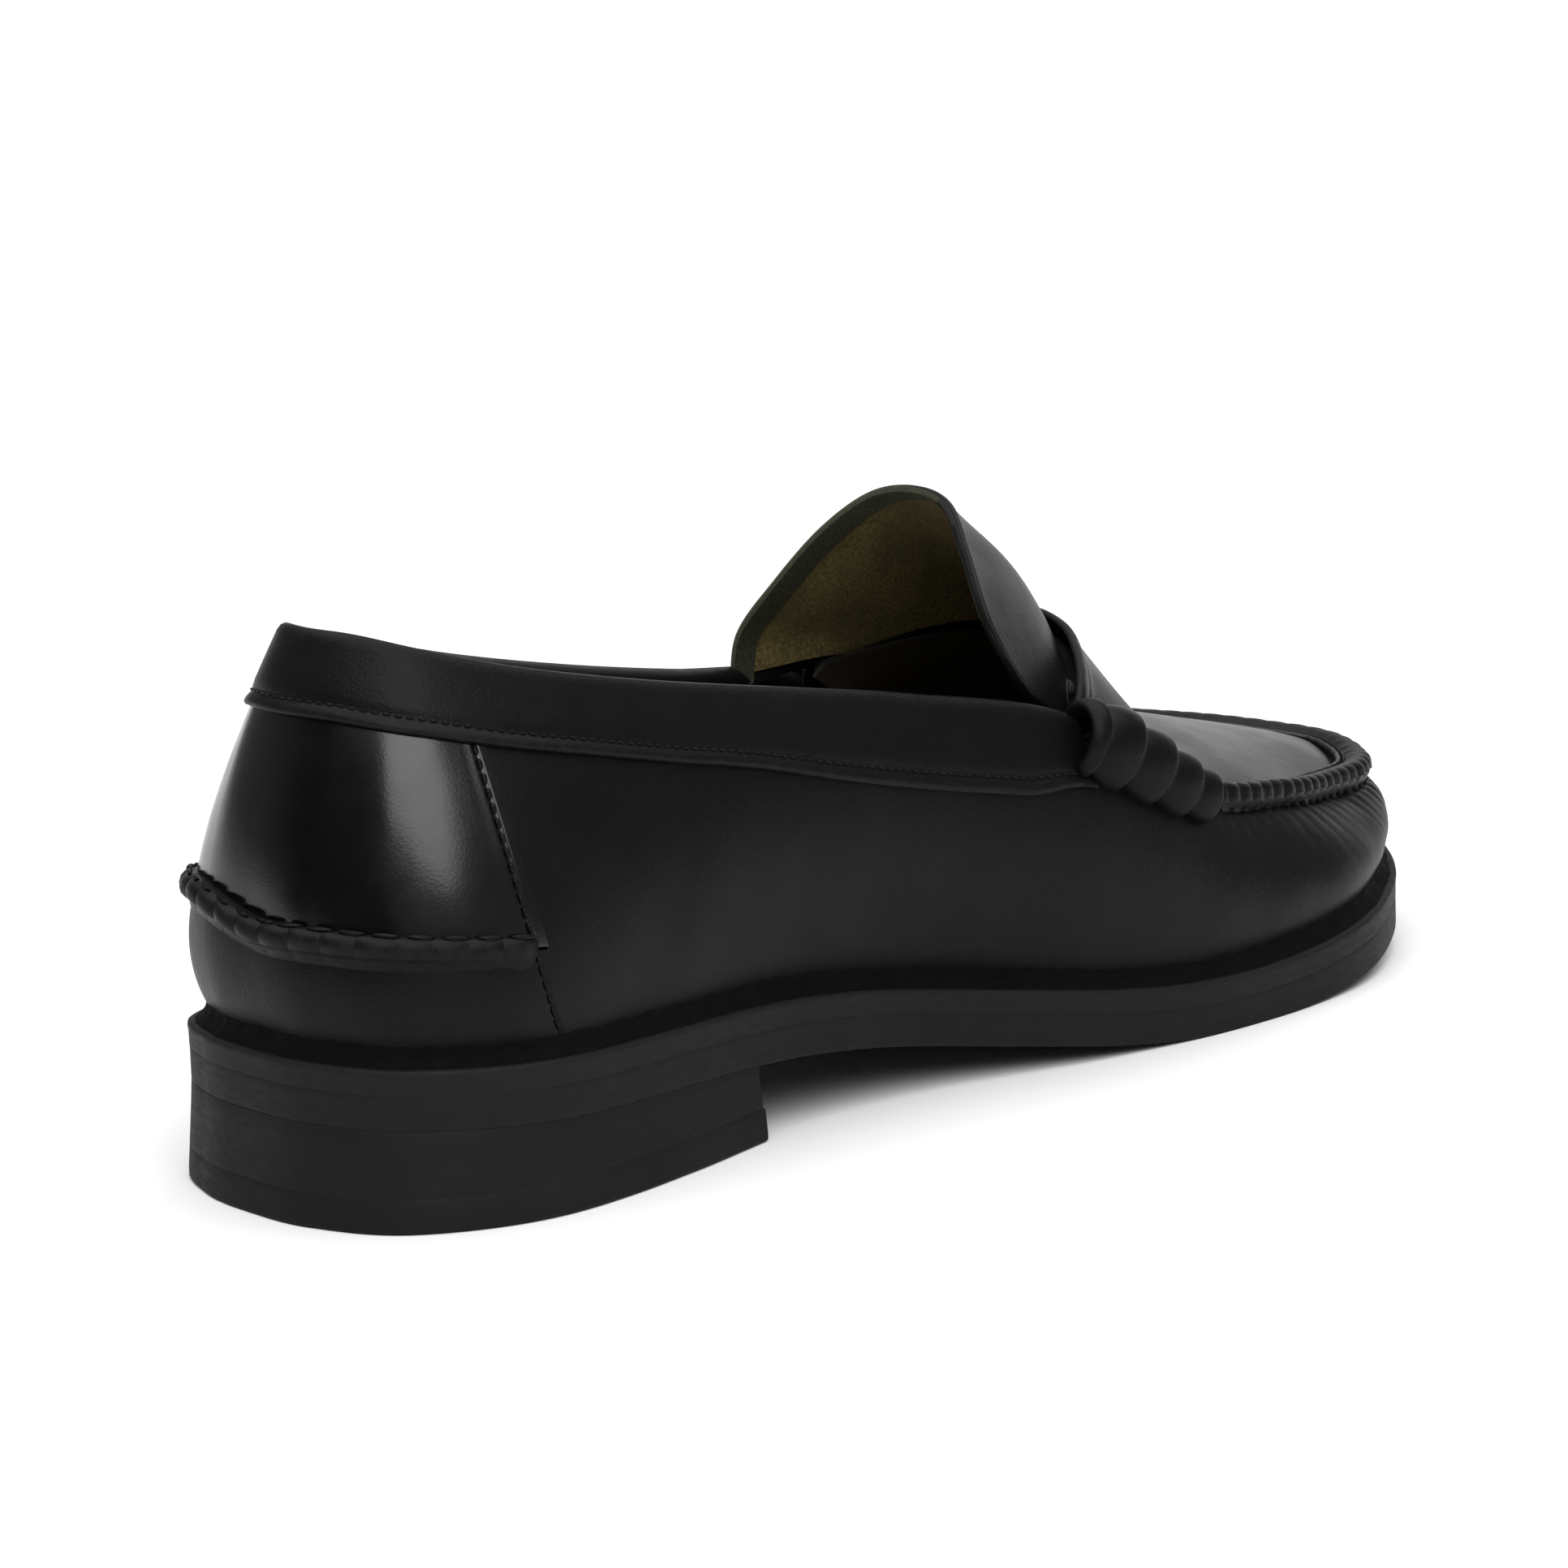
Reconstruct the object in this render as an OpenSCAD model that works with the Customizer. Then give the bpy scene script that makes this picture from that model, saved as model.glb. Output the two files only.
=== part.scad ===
// Penny loafer, right shoe, built from its separate leather, rubber and board pieces.
// +X points to the toe, +Y to the inner side of the foot, +Z up, in millimetres.
// The origin is on the ground, under the middle of the shoe's bounding box.

/* [Shoe] */
// Length of the sole from the back of the heel to the tip of the toe
shoe_length = 283; // [270:0.5:298]
// Width of the sole across the ball of the foot
shoe_width = 99.5; // [92:0.5:106]
// Height of the collar at the back of the heel
back_height = 96.5; // [90:0.5:102]

/* [Bottom] */
// Thickness of the outsole
outsole_thickness = 6.1; // [4.5:0.1:7]
// Thickness of the midsole
midsole_thickness = 4.4; // [3:0.1:5]
// Thickness of the rubber top piece under the heel
top_piece_thickness = 6; // [4:0.5:8]
// Distance from the back of the heel to its front face
heel_length = 81; // [74:0.5:88]
// How far the heel spreads on its way down to the ground
heel_flare = 3.2; // [2:0.1:4]
// Height of the recessed rand between the sole and the upper
rand_height = 2.8; // [2:0.1:3.5]
// Number of nails that hold the heel
nail_count = 6; // [4:1:8]

/* [Upper] */
// Thickness of the outer leather
leather = 1.5; // [1.2:0.1:1.8]
// Thickness of the lining leather
lining = 0.8; // [0.7:0.1:1]
// Thickness of the heel stiffener and of the toe puff
stiffener = 0.5; // [0.3:0.1:0.6]
// Height of the folded band around the foot opening
collar_height = 12.5; // [10:0.5:15]
// Height of the pinched seam around the apron
ridge_height = 2.6; // [2:0.1:3.5]
// Diameter of the sewing thread
thread = 0.9; // [0.6:0.1:1.2]

/* [Beef rolls] */
// Radius of the rear lobe of a beef roll
roll_rear_r = 6.2; // [5:0.1:6.6]
// Radius of the front lobe of a beef roll
roll_front_r = 4.5; // [4:0.1:5]
// Number of lobes in a beef roll
roll_lobes = 5; // [4:1:6]

/* [Hidden] */

// The tables below are drawn for this size, and the driving sizes scale them.
drawn_length = 283;
drawn_width = 99.5;
drawn_height = 96.5;
size = [shoe_length / drawn_length, shoe_width / drawn_width, back_height / drawn_height];
centre = [136.6 * size[0], 1.36 * size[1], 0];

// Stations around the shoe, counted from the back of the heel along the outer side to
// the toe and back along the inner side. Each row holds the sole's edge x, y, the
// upper's top edge x, y, z, and how far the wall bulges low down and high up.
LAST = [
    [-3.7, 0, 14, 0, 96.5, 1.5, 13],
    [-3, -15, 16.5, -9, 96, 1, 13],
    [5, -31, 25, -17.5, 93, 0.7, 13],
    [27, -41, 42, -23.5, 88, 1, 13],
    [60, -39, 68, -27, 82, 2.5, 12],
    [93, -34.7, 96, -29.5, 76.5, 4.5, 11],
    [126, -36.5, 124, -32.5, 71, 4.5, 10],
    [161, -45, 158, -37.5, 62.5, 2, 10],
    [195, -48.5, 191, -38.5, 43.5, 1, 8],
    [228, -45.3, 219, -33, 37.5, 1, 9],
    [251, -33.8, 239.5, -25, 34.2, 1, 9],
    [267.3, -18, 260, -15.5, 32.6, 1.5, 8],
    [279, 3, 270.3, 2, 33.2, 2, 8],
    [273.5, 26, 263.5, 18, 35.4, 1.5, 9],
    [256, 41, 247.3, 29.7, 38.4, 1, 9],
    [231, 49, 224, 38, 42.5, 1, 9],
    [201, 51, 196, 41, 46.5, 1, 8],
    [162, 44, 160, 37.5, 61, 2, 9],
    [127, 36, 125, 32, 67.5, 4, 9],
    [93, 33, 96, 29, 73.5, 4.5, 10],
    [59, 35, 67, 27, 80.5, 3.5, 12],
    [30, 35.5, 42, 23.5, 88, 2.5, 13],
    [7.5, 28.5, 25, 17, 93, 2.5, 13],
    [-1.2, 14.5, 16.5, 9, 96, 2.5, 13]];
STATIONS = len(LAST);

// Side view of the bottom unit: x and the height of the sole's top face.
SOLE_TOP = [[-4, 28.2], [39, 25.8], [78, 24.3], [108, 21.5], [142, 15.8], [176, 11],
    [206, 10.5], [245, 14], [288, 18.4]];

// Arcs over the instep, from the outer side to the inner side: the strap's front
// edge, its rear edge and the free edge of the tongue.
STRAP_FRONT = [[192, -38, 43.5], [194.5, -34, 46], [197, -25, 49.5], [200, -13, 52.5],
    [202, 0, 54], [201, 13, 53.5], [199, 25, 51.5], [196, 34, 48.5], [193, 39.5, 47]];
STRAP_REAR = [[160, -38.5, 64], [164.5, -35.2, 67.6], [173, -26.3, 71], [182, -14, 73.3],
    [186.5, 0, 74.2], [184, 14, 73.3], [176, 26, 71], [166.5, 35, 67.4], [162, 38.5, 62.5]];
TONGUE_EDGE = [[164, -32.5, 60.5], [153.5, -33.5, 68], [146.5, -31, 81], [151, -21, 92.5],
    [156, -11.5, 99.8], [157.5, -1, 101.5], [156, 9, 99.5], [152.5, 18.5, 92.5],
    [148.5, 27.5, 82], [147, 33.5, 70.5], [160, 33, 61]];

// Where the heel panels meet the wall, in stations, at the sole and at the collar.
side_seam_low = 3.28;
side_seam_high = 2.3;
// Where the upper part of a wall stops being the collar and becomes the pinched seam.
collar_end = 7.05;
ridge_start = 8;
// Share of the wall's height at which the heel's roll seam lies.
roll_seam_at = 0.3;
roll_seam_reach = 2.4;

gap = 0.1;
puff_gap = leather + 0.25;
lining_gap = puff_gap + stiffener + 0.35;
feather_inset = 3.5;
rand_inset = 4.6;
rand_width = 2.6;
board_inset = rand_inset + rand_width + 0.5;
filler_thickness = 1.9;
board_thickness = 1.9;
sock_thickness = 0.8;
pad_thickness = 2.4;

// ---- Curves ----

// Point between b and c on the smooth curve through a, b, c and d.
function bend(a, b, c, d, f) =
    b + 0.5 * f * ((c - a) + f * ((2 * a - 5 * b + 4 * c - d) + f * (3 * (b - c) + d - a)));

// Row of the closed table of stations at position t.
function station(t) =
    let (n = STATIONS, i = floor(t), f = t - i, k = i + n)
    bend(LAST[(k - 1) % n], LAST[k % n], LAST[(k + 1) % n], LAST[(k + 2) % n], f);

// Point of an open list of points at share w of its length.
function along(list, w) =
    let (last = len(list) - 1, s = w * last, i = min(floor(s), last - 1))
    bend(list[max(i - 1, 0)], list[i], list[i + 1], list[min(i + 2, last)], s - i);

function mix(a, b, f) = a + (b - a) * f;
function unit(v) = v / norm(v);
function scaled(p) = [p[0] * size[0], p[1] * size[1], p[2] * size[2]];
function smooth_step(f) = let (g = min(max(f, 0), 1)) g * g * (3 - 2 * g);

// Height of the sole's top face at x, between the points of its side view.
function sole_top(x) =
    let (last = len(SOLE_TOP) - 1,
        i = min(len([for (k = [1:last]) if (SOLE_TOP[k][0] * size[0] < x) k]), last - 1),
        a = SOLE_TOP[max(i - 1, 0)], b = SOLE_TOP[i], c = SOLE_TOP[i + 1],
        d = SOLE_TOP[min(i + 2, last)],
        f = (x / size[0] - b[0]) / (c[0] - b[0]),
        low = (c[1] - a[1]) / (c[0] - a[0]) * (c[0] - b[0]),
        high = (d[1] - b[1]) / (d[0] - b[0]) * (c[0] - b[0]))
    mix(b[1], c[1], smooth_step(f)) + low * f * (1 - f) * (1 - f) - high * f * f * (1 - f);

// Outward direction of the sole's edge, seen from above.
function outward(t) =
    let (a = station(t - 0.02), b = station(t + 0.02))
    unit([b[1] - a[1], a[0] - b[0], 0]);

// Point of the sole's edge at station t, moved inwards.
function edge(t, inset = 0) =
    let (s = station(t), p = [s[0] * size[0], s[1] * size[1], 0] - outward(t) * inset)
    [p[0], p[1]];

// ---- Upper ----

// Shares of the wall's height at which it bulges low down and high up.
low_bulge_at = 0.28;
high_bulge_at = 0.64;

// Point of the upper's wall at station t, v from the sole at 0 to the top edge at 1.
function skin(t, v) =
    let (s = station(t), n = outward(t),
        top = scaled([s[2], s[3], s[4]]),
        foot = [s[0] * size[0], s[1] * size[1], 0],
        base = sole_top(foot[0]) + rand_height,
        rise = top[2] - base,
        p0 = foot - n * feather_inset + [0, 0, base],
        p1 = foot + n * s[5] + [0, 0, base + low_bulge_at * rise],
        p2 = [top[0], top[1], 0] + n * s[6] + [0, 0, base + high_bulge_at * rise],
        w = 1 - v)
    p0 * w * w * w + p1 * 3 * v * w * w + p2 * 3 * v * v * w + top * v * v * v;

// Point at depth d under the wall's outer face (a negative depth lies outside it).
function wall(t, v, d = 0) =
    let (e = 0.02,
        across = skin(t + e, v) - skin(t - e, v),
        up = skin(t, min(v + e, 1.02)) - skin(t, v - e))
    skin(t, v) - unit(cross(across, up)) * d;

// Share v of a point that lies h millimetres below the top edge, where the wall's curve
// is a little longer than the straight line from the sole to the top edge.
straight_to_curve = 0.93;
function below_top(t, h) = 1 - h / norm(skin(t, 1) - skin(t, 0)) * straight_to_curve;

// Point of the strap, u from its front edge at 0 to its rear edge at 1.
function saddle_skin(u, w) =
    scaled(mix(along(STRAP_FRONT, w), along(STRAP_REAR, w), u));
// Point of the strap at depth d under its outer face.
function saddle(u, w, d = 0) =
    let (e = 0.01,
        across = saddle_skin(u, min(w + e, 1)) - saddle_skin(u, max(w - e, 0)),
        back = saddle_skin(u + e, w) - saddle_skin(u - e, w))
    saddle_skin(u, w) - unit(cross(across, back)) * d;

// Point of the tongue, u from its root under the strap at 0 to its free edge at 1. It
// bulges outwards, most at a third of the way.
tongue_root_at = 0.98;
tongue_root_narrow = 0.16;
tongue_clearance = 1.7;
tongue_bulge = 2.7;
function tongue_skin(u, w) =
    let (root = saddle(tongue_root_at, mix(tongue_root_narrow, 1 - tongue_root_narrow, w),
            leather + tongue_clearance))
    mix(root, scaled(along(TONGUE_EDGE, w)), u)
        + tongue_bulge * [1, 0, 1] * sin(180 * w) * pow(max(u, 0), 0.9)
            * pow(max(1 - u, 0), 1.8) * 5;
// Point of the tongue at depth d under its outer face.
function tongue_face(u, w, d = 0) =
    let (e = 0.02,
        across = tongue_skin(u, min(w + e, 1)) - tongue_skin(u, max(w - e, 0)),
        back = tongue_skin(u + e, w) - tongue_skin(u - e, w))
    tongue_skin(u, w) - unit(cross(across, back)) * d;

// Apron: rows run from the outer side to the inner side, from under the strap to the
// toe. The rows' crown and how far their middle lies forward depend on the station.
apron_start = 8.3;
apron_end = 11.84;
apron_edge_inset = leather + 0.5;
APRON_CROWN = [[8.3, 6.8], [9, 6.5], [10, 4.4], [11, 2.2], [11.84, 0.6]];
APRON_FORWARD = [[8.3, 8], [9, 3], [10, 1], [11, 0]];
under_strap = 0.5;
under_strap_narrow = 0.06;
function apron_rim(t) =
    let (s = station(t)) scaled([s[2], s[3], s[4]]) - outward(t) * apron_edge_inset;
function apron_row(t, w) =
    let (arch = pow(sin(180 * w), 0.8),
        lift = ridge_height * 0.8 * (1 - smooth_step(sin(180 * w) * 6))
            * smooth_step((t - ridge_start) / 0.5))
    mix(apron_rim(t), apron_rim(STATIONS - t), w)
        + [lookup(t, APRON_FORWARD) * arch, 0, lookup(t, APRON_CROWN) * arch + lift];

// Point of the apron at depth d, u from under the strap at 0 to the toe at 1.
strap_share = 0.12;
function apron_face(u, w, d) =
    u < strap_share
        ? saddle(mix(under_strap, 0, u / strap_share),
            mix(under_strap_narrow, 1 - under_strap_narrow, w), leather + 2 * gap + d)
        : apron_row(mix(apron_start, apron_end, (u - strap_share) / (1 - strap_share)), w)
            - [0, 0, d + 2 * gap];

// ---- Solids from grids of points ----

// Closed solid between two grids of the same size: outer faces out, inner faces in.
module slab(outer, inner) {
    rows = len(outer);
    cols = len(outer[0]);
    n = rows * cols;
    points = concat([for (r = outer) each r], [for (r = inner) each r]);
    function id(i, j) = i * cols + j;
    faces = concat(
        [for (i = [0:rows - 2], j = [0:cols - 2])
            each [[id(i, j), id(i, j + 1), id(i + 1, j + 1)],
                [id(i, j), id(i + 1, j + 1), id(i + 1, j)]]],
        [for (i = [0:rows - 2], j = [0:cols - 2])
            each [[n + id(i, j), n + id(i + 1, j + 1), n + id(i, j + 1)],
                [n + id(i, j), n + id(i + 1, j), n + id(i + 1, j + 1)]]],
        [for (j = [0:cols - 2]) each [[id(0, j), n + id(0, j), n + id(0, j + 1)],
            [id(0, j), n + id(0, j + 1), id(0, j + 1)]]],
        [for (j = [0:cols - 2]) let (i = rows - 1)
            each [[id(i, j), n + id(i, j + 1), n + id(i, j)],
                [id(i, j), id(i, j + 1), n + id(i, j + 1)]]],
        [for (i = [0:rows - 2]) each [[id(i, 0), id(i + 1, 0), n + id(i + 1, 0)],
            [id(i, 0), n + id(i + 1, 0), n + id(i, 0)]]],
        [for (i = [0:rows - 2]) let (j = cols - 1)
            each [[id(i, j), n + id(i + 1, j), id(i + 1, j)],
                [id(i, j), n + id(i, j), n + id(i + 1, j)]]]);
    translate(-centre) polyhedron(points, faces);
}

// Closed solid swept through a list of sections that all have the same points.
module loft(sections) {
    rings = len(sections);
    m = len(sections[0]);
    points = [for (s = sections) each s];
    faces = concat(
        [for (i = [0:rings - 2], j = [0:m - 1]) let (k = (j + 1) % m)
            each [[i * m + j, i * m + k, (i + 1) * m + k],
                [i * m + j, (i + 1) * m + k, (i + 1) * m + j]]],
        [for (j = [1:m - 2]) [0, j + 1, j]],
        [for (j = [1:m - 2]) let (o = (rings - 1) * m) [o, o + j, o + j + 1]]);
    translate(-centre) polyhedron(points, faces);
}

// Piece of the wall between two shares of its height and two depths.
module wall_piece(from, to, low, high, shallow, deep, around, up) {
    slab([for (i = [0:around]) [for (j = [0:up]) let (v = mix(low, high, j / up))
            wall(mix(from(v), to(v), i / around), v, shallow)]],
        [for (i = [0:around]) [for (j = [0:up]) let (v = mix(low, high, j / up))
            wall(mix(from(v), to(v), i / around), v, deep)]]);
}

// Thread of round section laid through a list of points.
thread_sides = 5;
module sewn(path) {
    last = len(path) - 1;
    loft([for (i = [0:last])
        let (dir = unit(path[min(i + 1, last)] - path[max(i - 1, 0)]),
            side = unit(cross(dir, [0, 0, 1])), up = cross(side, dir))
        [for (k = [0:thread_sides - 1]) let (a = 360 * k / thread_sides)
            path[i] + (side * cos(a) + up * sin(a)) * thread / 2]]);
}

side_seam = function(v) mix(side_seam_low, side_seam_high, v);
far_side_seam = function(v) STATIONS - side_seam(v);
back_left = function(v) -side_seam(v) + 0.03;
back_right = function(v) side_seam(v) - 0.03;
wall_left = function(v) side_seam(v) + 0.03;
wall_right = function(v) far_side_seam(v) - 0.03;

// ---- Bottom unit ----

outline_points = 72;
back_x = -8;
front_x = 296;
shoe_span = 160;

// Upright block with the sole's outline, moved inwards.
module outline_block(inset, low = -5, high = 60) {
    translate([0, 0, low]) linear_extrude(high - low)
        polygon([for (i = [0:outline_points - 1]) edge(i * STATIONS / outline_points, inset)]);
}

// Slab across the shoe between two heights that depend on x. Its corners lie on one
// grid of x that all slabs share, so that neighbours meet face to face.
slab_step = 8;
module side_slab(from, to, low, high) {
    inside = [for (x = [back_x:slab_step:front_x]) if (x > from + 1 && x < to - 1) x];
    xs = concat([from], inside, [to]);
    rotate([90, 0, 0]) linear_extrude(shoe_span, center = true)
        polygon(concat([for (x = xs) [x, high(x)]],
            [for (i = [len(xs) - 1:-1:0]) [xs[i], low(xs[i])]]));
}

module sole_layer(inset, from, to, low, high) {
    translate(-centre) intersection() {
        outline_block(inset);
        side_slab(from, to, low, high);
    }
}

top_face = function(x) sole_top(x);
midsole_face = function(x) sole_top(x) - midsole_thickness;
tread_face = function(x) max(0, midsole_face(x) - outsole_thickness);
filler_face = function(x) sole_top(x) + filler_thickness;
board_face = function(x) filler_face(x) + board_thickness;
pad_end = 80;
pad_slope_from = 64;
pad_slope = 24;
pad_rise = function(x) pad_thickness * (1 - smooth_step((x - pad_slope_from) / pad_slope));
pad_face = function(x) board_face(x) + gap / 2 + pad_rise(x);
sock_face = function(x) pad_face(x) + sock_thickness;

module outsole() {
    color("#26272a") sole_layer(0.3, back_x, front_x, tread_face, midsole_face);
}

module midsole() {
    color("#2c2d30") sole_layer(0, back_x, front_x, midsole_face, top_face);
}

module rand() {
    low = function(x) sole_top(x);
    high = function(x) sole_top(x) + rand_height - gap;
    color("#0c0c0d") translate(-centre) intersection() {
        difference() {
            outline_block(rand_inset);
            outline_block(rand_inset + rand_width, low = -6, high = 61);
        }
        side_slab(back_x, front_x, low, high);
    }
}

// Everything behind the heel's flat front face.
heel_ceiling = 40;
module behind_breast() {
    translate([back_x, -shoe_span / 2, -1]) cube([heel_length - back_x, shoe_span, heel_ceiling]);
}

// Level of the heel between two heights. Its sides meet the sole's edge at the top and
// spread towards the ground, most on the outer side and less near the front face.
heel_rise = 18;
heel_stations = concat([for (t = [0:0.25:5]) t], [for (t = [19:0.25:23.75]) t]);
function spread(t) = heel_flare * (0.65 - 0.35 * outward(t)[1])
    * (1 - 0.7 * smooth_step((station(t)[0] - 45) / 45));
module heel_level(low, high) {
    loft([for (z = [high, low]) [for (t = heel_stations)
        let (p = edge(t, -spread(t) * (1 - z / heel_rise))) [p[0], p[1], z]]]);
}

module heel_block() {
    color("#27282b") intersection() {
        heel_level(top_piece_thickness, heel_ceiling);
        translate(-centre) side_slab(back_x, front_x, function(x) -1, tread_face);
        translate(-centre) behind_breast();
    }
}

module heel_top_piece() {
    color("#1d1e20") intersection() {
        heel_level(0, top_piece_thickness);
        translate(-centre) behind_breast();
    }
}

// Nails stand in an oval ring, heads down in the top piece.
nail_middle = 38;
nail_ring = [24, 22];
nail_turn = 30;
nail_r = 1.2;
nail_head_r = 2.4;
nail_head_height = 1;
nail_low = 3;
nail_length = 17;
module heel_nails() {
    color("#8d9094") translate(-centre) for (i = [0:nail_count - 1]) {
        a = 360 * i / nail_count + nail_turn;
        translate([nail_middle + nail_ring[0] * cos(a), nail_ring[1] * sin(a), nail_low]) {
            cylinder(r = nail_head_r, h = nail_head_height, $fn = 24);
            cylinder(r = nail_r, h = nail_length, $fn = 24);
        }
    }
}

filler_from = 152;
filler_to = 256;
module cork_filler() {
    low = function(x) sole_top(x) + gap / 2;
    high = function(x) filler_face(x) - gap / 2;
    color("#8a6a45") sole_layer(board_inset + 2, filler_from, filler_to, low, high);
}

shank_from = 48;
shank_length = 96;
shank_width = 14;
shank_thickness = 1.4;
module shank() {
    low = function(x) sole_top(x) + 2 * gap;
    high = function(x) low(x) + shank_thickness;
    color("#9a9da1") translate(-centre) intersection() {
        translate([shank_from, -shank_width / 2, 0]) cube([shank_length, shank_width, heel_ceiling]);
        side_slab(back_x, front_x, low, high);
    }
}

module insole_board() {
    color("#a58a63") sole_layer(board_inset, back_x, front_x, filler_face, board_face);
}

module heel_pad() {
    low = function(x) board_face(x) + 0.02;
    high = function(x) pad_face(x) - 0.02;
    color("#b9ab7d") sole_layer(board_inset + 4, back_x, pad_end, low, high);
}

module sock_lining() {
    color("#4a3f22") sole_layer(board_inset + 0.4, back_x, front_x, pad_face, sock_face);
}

// ---- Upper pieces ----

// The one-piece wall runs from the outer side seam round the toe to the inner side seam.
wall_steps = 58;
wall_rows = 7;
function ridge_lift(t) =
    let (d = min(abs(t - ridge_start), abs(STATIONS - ridge_start - t)),
        inside = t > ridge_start && t < STATIONS - ridge_start)
    inside ? ridge_height * smooth_step(d / 0.5) : 0;

module vamp_wall() {
    function at(i, j, d) =
        let (v = min(j / wall_rows, 1), t = mix(wall_left(v), wall_right(v), i / wall_steps),
            p = wall(t, v, d))
        j <= wall_rows ? p : p + [0, 0, ridge_lift(t) + 0.05];
    color("#1f2022") slab(
        [for (i = [0:wall_steps]) [for (j = [0:wall_rows + 1]) at(i, j, 0)]],
        [for (i = [0:wall_steps]) [for (j = [0:wall_rows + 1]) at(i, j, leather)]]);
}

module wall_lining() {
    from = function(v) 0.4;
    to = function(v) STATIONS + 0.3;
    color("#4d4224") wall_piece(from, to, 0.02, 0.985, lining_gap, lining_gap + lining, 64, 5);
}

apron_rows = 18;
apron_cols = 14;

// Grid of points of the apron at one depth, without some of its last rows and sides.
function apron_grid(d, short = 0, narrow = 0) =
    [for (i = [0:apron_rows - short])
        [for (j = [narrow:apron_cols - narrow])
            apron_face(i / apron_rows, j / apron_cols, d)]];

module apron() {
    color("#2a2b2e") slab(apron_grid(leather), apron_grid(0));
}

module apron_lining() {
    near = leather + 2 * gap;
    color("#4d4224") slab(apron_grid(near + lining, 3, 2), apron_grid(near, 3, 2));
}

module toe_puff() {
    from = function(v) 9.6;
    to = function(v) 14.4;
    color("#c9c2b0") wall_piece(from, to, 0.04, 0.86, puff_gap, puff_gap + stiffener, 18, 4);
}

module heel_stiffener() {
    from = function(v) -2.3;
    to = function(v) 2.3;
    color("#b5a58a") wall_piece(from, to, 0.04, 0.8, puff_gap, puff_gap + stiffener, 18, 5);
}

module heel_counter_panel() {
    color("#232427") wall_piece(back_left, back_right, roll_seam_at + 0.005, 1, 0, leather, 26, 6);
}

module heel_lower_panel() {
    color("#202123") wall_piece(back_left, back_right, 0, roll_seam_at - 0.005, 0, leather, 26, 3);
}

// Folded strip that stands out along the seam between the two heel panels.
module heel_roll_seam() {
    steps = 26;
    half = 0.02;
    color("#1d1e20") loft([for (i = [0:steps])
        let (t = mix(back_left(roll_seam_at) + 0.05, back_right(roll_seam_at) - 0.05, i / steps),
            reach = roll_seam_reach * smooth_step(min(i, steps - i) / 2 + 0.35))
        [wall(t, roll_seam_at - half, -gap), wall(t, roll_seam_at + half, -gap),
            wall(t, roll_seam_at + half * 0.8, -reach * 0.75), wall(t, roll_seam_at, -reach),
            wall(t, roll_seam_at - half * 0.9, -reach * 0.8)]]);
}

// Folded band that binds the foot opening, outside face, over the edge and inside.
band_thickness = 0.9;
band_over = 1.2;
band_round = 0.4;
module collar_band() {
    steps = 60;
    rows = 3;
    fold = 0.25;
    inner = lining_gap + lining;
    outer = -2 * gap - band_thickness;
    color("#1f2022") loft([for (i = [0:steps])
        let (t = mix(-collar_end, collar_end, i / steps),
            over = below_top(t, -band_over))
        concat(
            [for (j = [0:rows])
                wall(t, below_top(t, mix(collar_height, -fold, j / rows)), -2 * gap)],
            [wall(t, below_top(t, -fold), inner), wall(t, over, inner - band_round), wall(t, over, 0)],
            [for (j = [rows:-1:0])
                wall(t, below_top(t, mix(collar_height, band_round, j / rows)), outer)])]);
}

// Strap over the instep, with the slot for a coin through its middle. The slot's cutter
// stands square to the strap there and has pointed ends.
slot_length = 17;
slot_height = 4;
slot_point = 2;
slot_tilt = 48;
slot_cut = 12;
module saddle_strap() {
    rows = 4;
    cols = 20;
    half = [slot_height / 2, slot_length / 2];
    color("#222326") difference() {
        slab([for (i = [0:rows]) [for (j = [0:cols]) saddle(i / rows, j / cols, leather)]],
            [for (i = [0:rows]) [for (j = [0:cols]) saddle(i / rows, j / cols, 0)]]);
        translate(saddle_skin(0.5, 0.5) - centre) rotate([0, slot_tilt, 0])
            linear_extrude(slot_cut, center = true)
                polygon([[-half[0], -half[1]], [0, -half[1] - slot_point], [half[0], -half[1]],
                    [half[0], half[1]], [0, half[1] + slot_point], [-half[0], half[1]]]);
    }
}

// Roll of leather at one end of the strap, tied into lobes along its length. A tie
// narrows the roll to this share of its radius.
tie_waist = 0.84;
module beef_roll(from, to) {
    reach = to - from;
    long = norm(reach);
    steps = 6;
    lobe = long / roll_lobes;
    profile = [for (i = [0:roll_lobes - 1], k = [0:steps])
        let (z = lobe * (i + k / steps), r = mix(roll_rear_r, roll_front_r, z / long))
        [r * mix(tie_waist, 1, sin(180 * k / steps)), z]];
    translate(from - centre) rotate([0, acos(reach[2] / long), atan2(reach[1], reach[0])])
        rotate_extrude($fn = 32) polygon(concat([[0, 0]], profile, [[0, long]]));
}

roll_start = 7.05;
roll_end = 8.03;
roll_drop = 1.6;
roll_out = 3.2;
function roll_point(t) = skin(t, 1) + outward(t) * roll_out - [0, 0, roll_drop];

module beef_roll_outer() {
    color("#242528") beef_roll(roll_point(roll_start), roll_point(roll_end));
}

module beef_roll_inner() {
    color("#242528") beef_roll(roll_point(STATIONS - roll_start), roll_point(STATIONS - roll_end));
}

tongue_leather = 1.3;
module tongue() {
    rows = 8;
    cols = 20;
    color("#232427") slab(
        [for (i = [0:rows]) [for (j = [0:cols]) tongue_face(i / rows, j / cols, tongue_leather)]],
        [for (i = [0:rows]) [for (j = [0:cols]) tongue_face(i / rows, j / cols, 0)]]);
}

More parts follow.
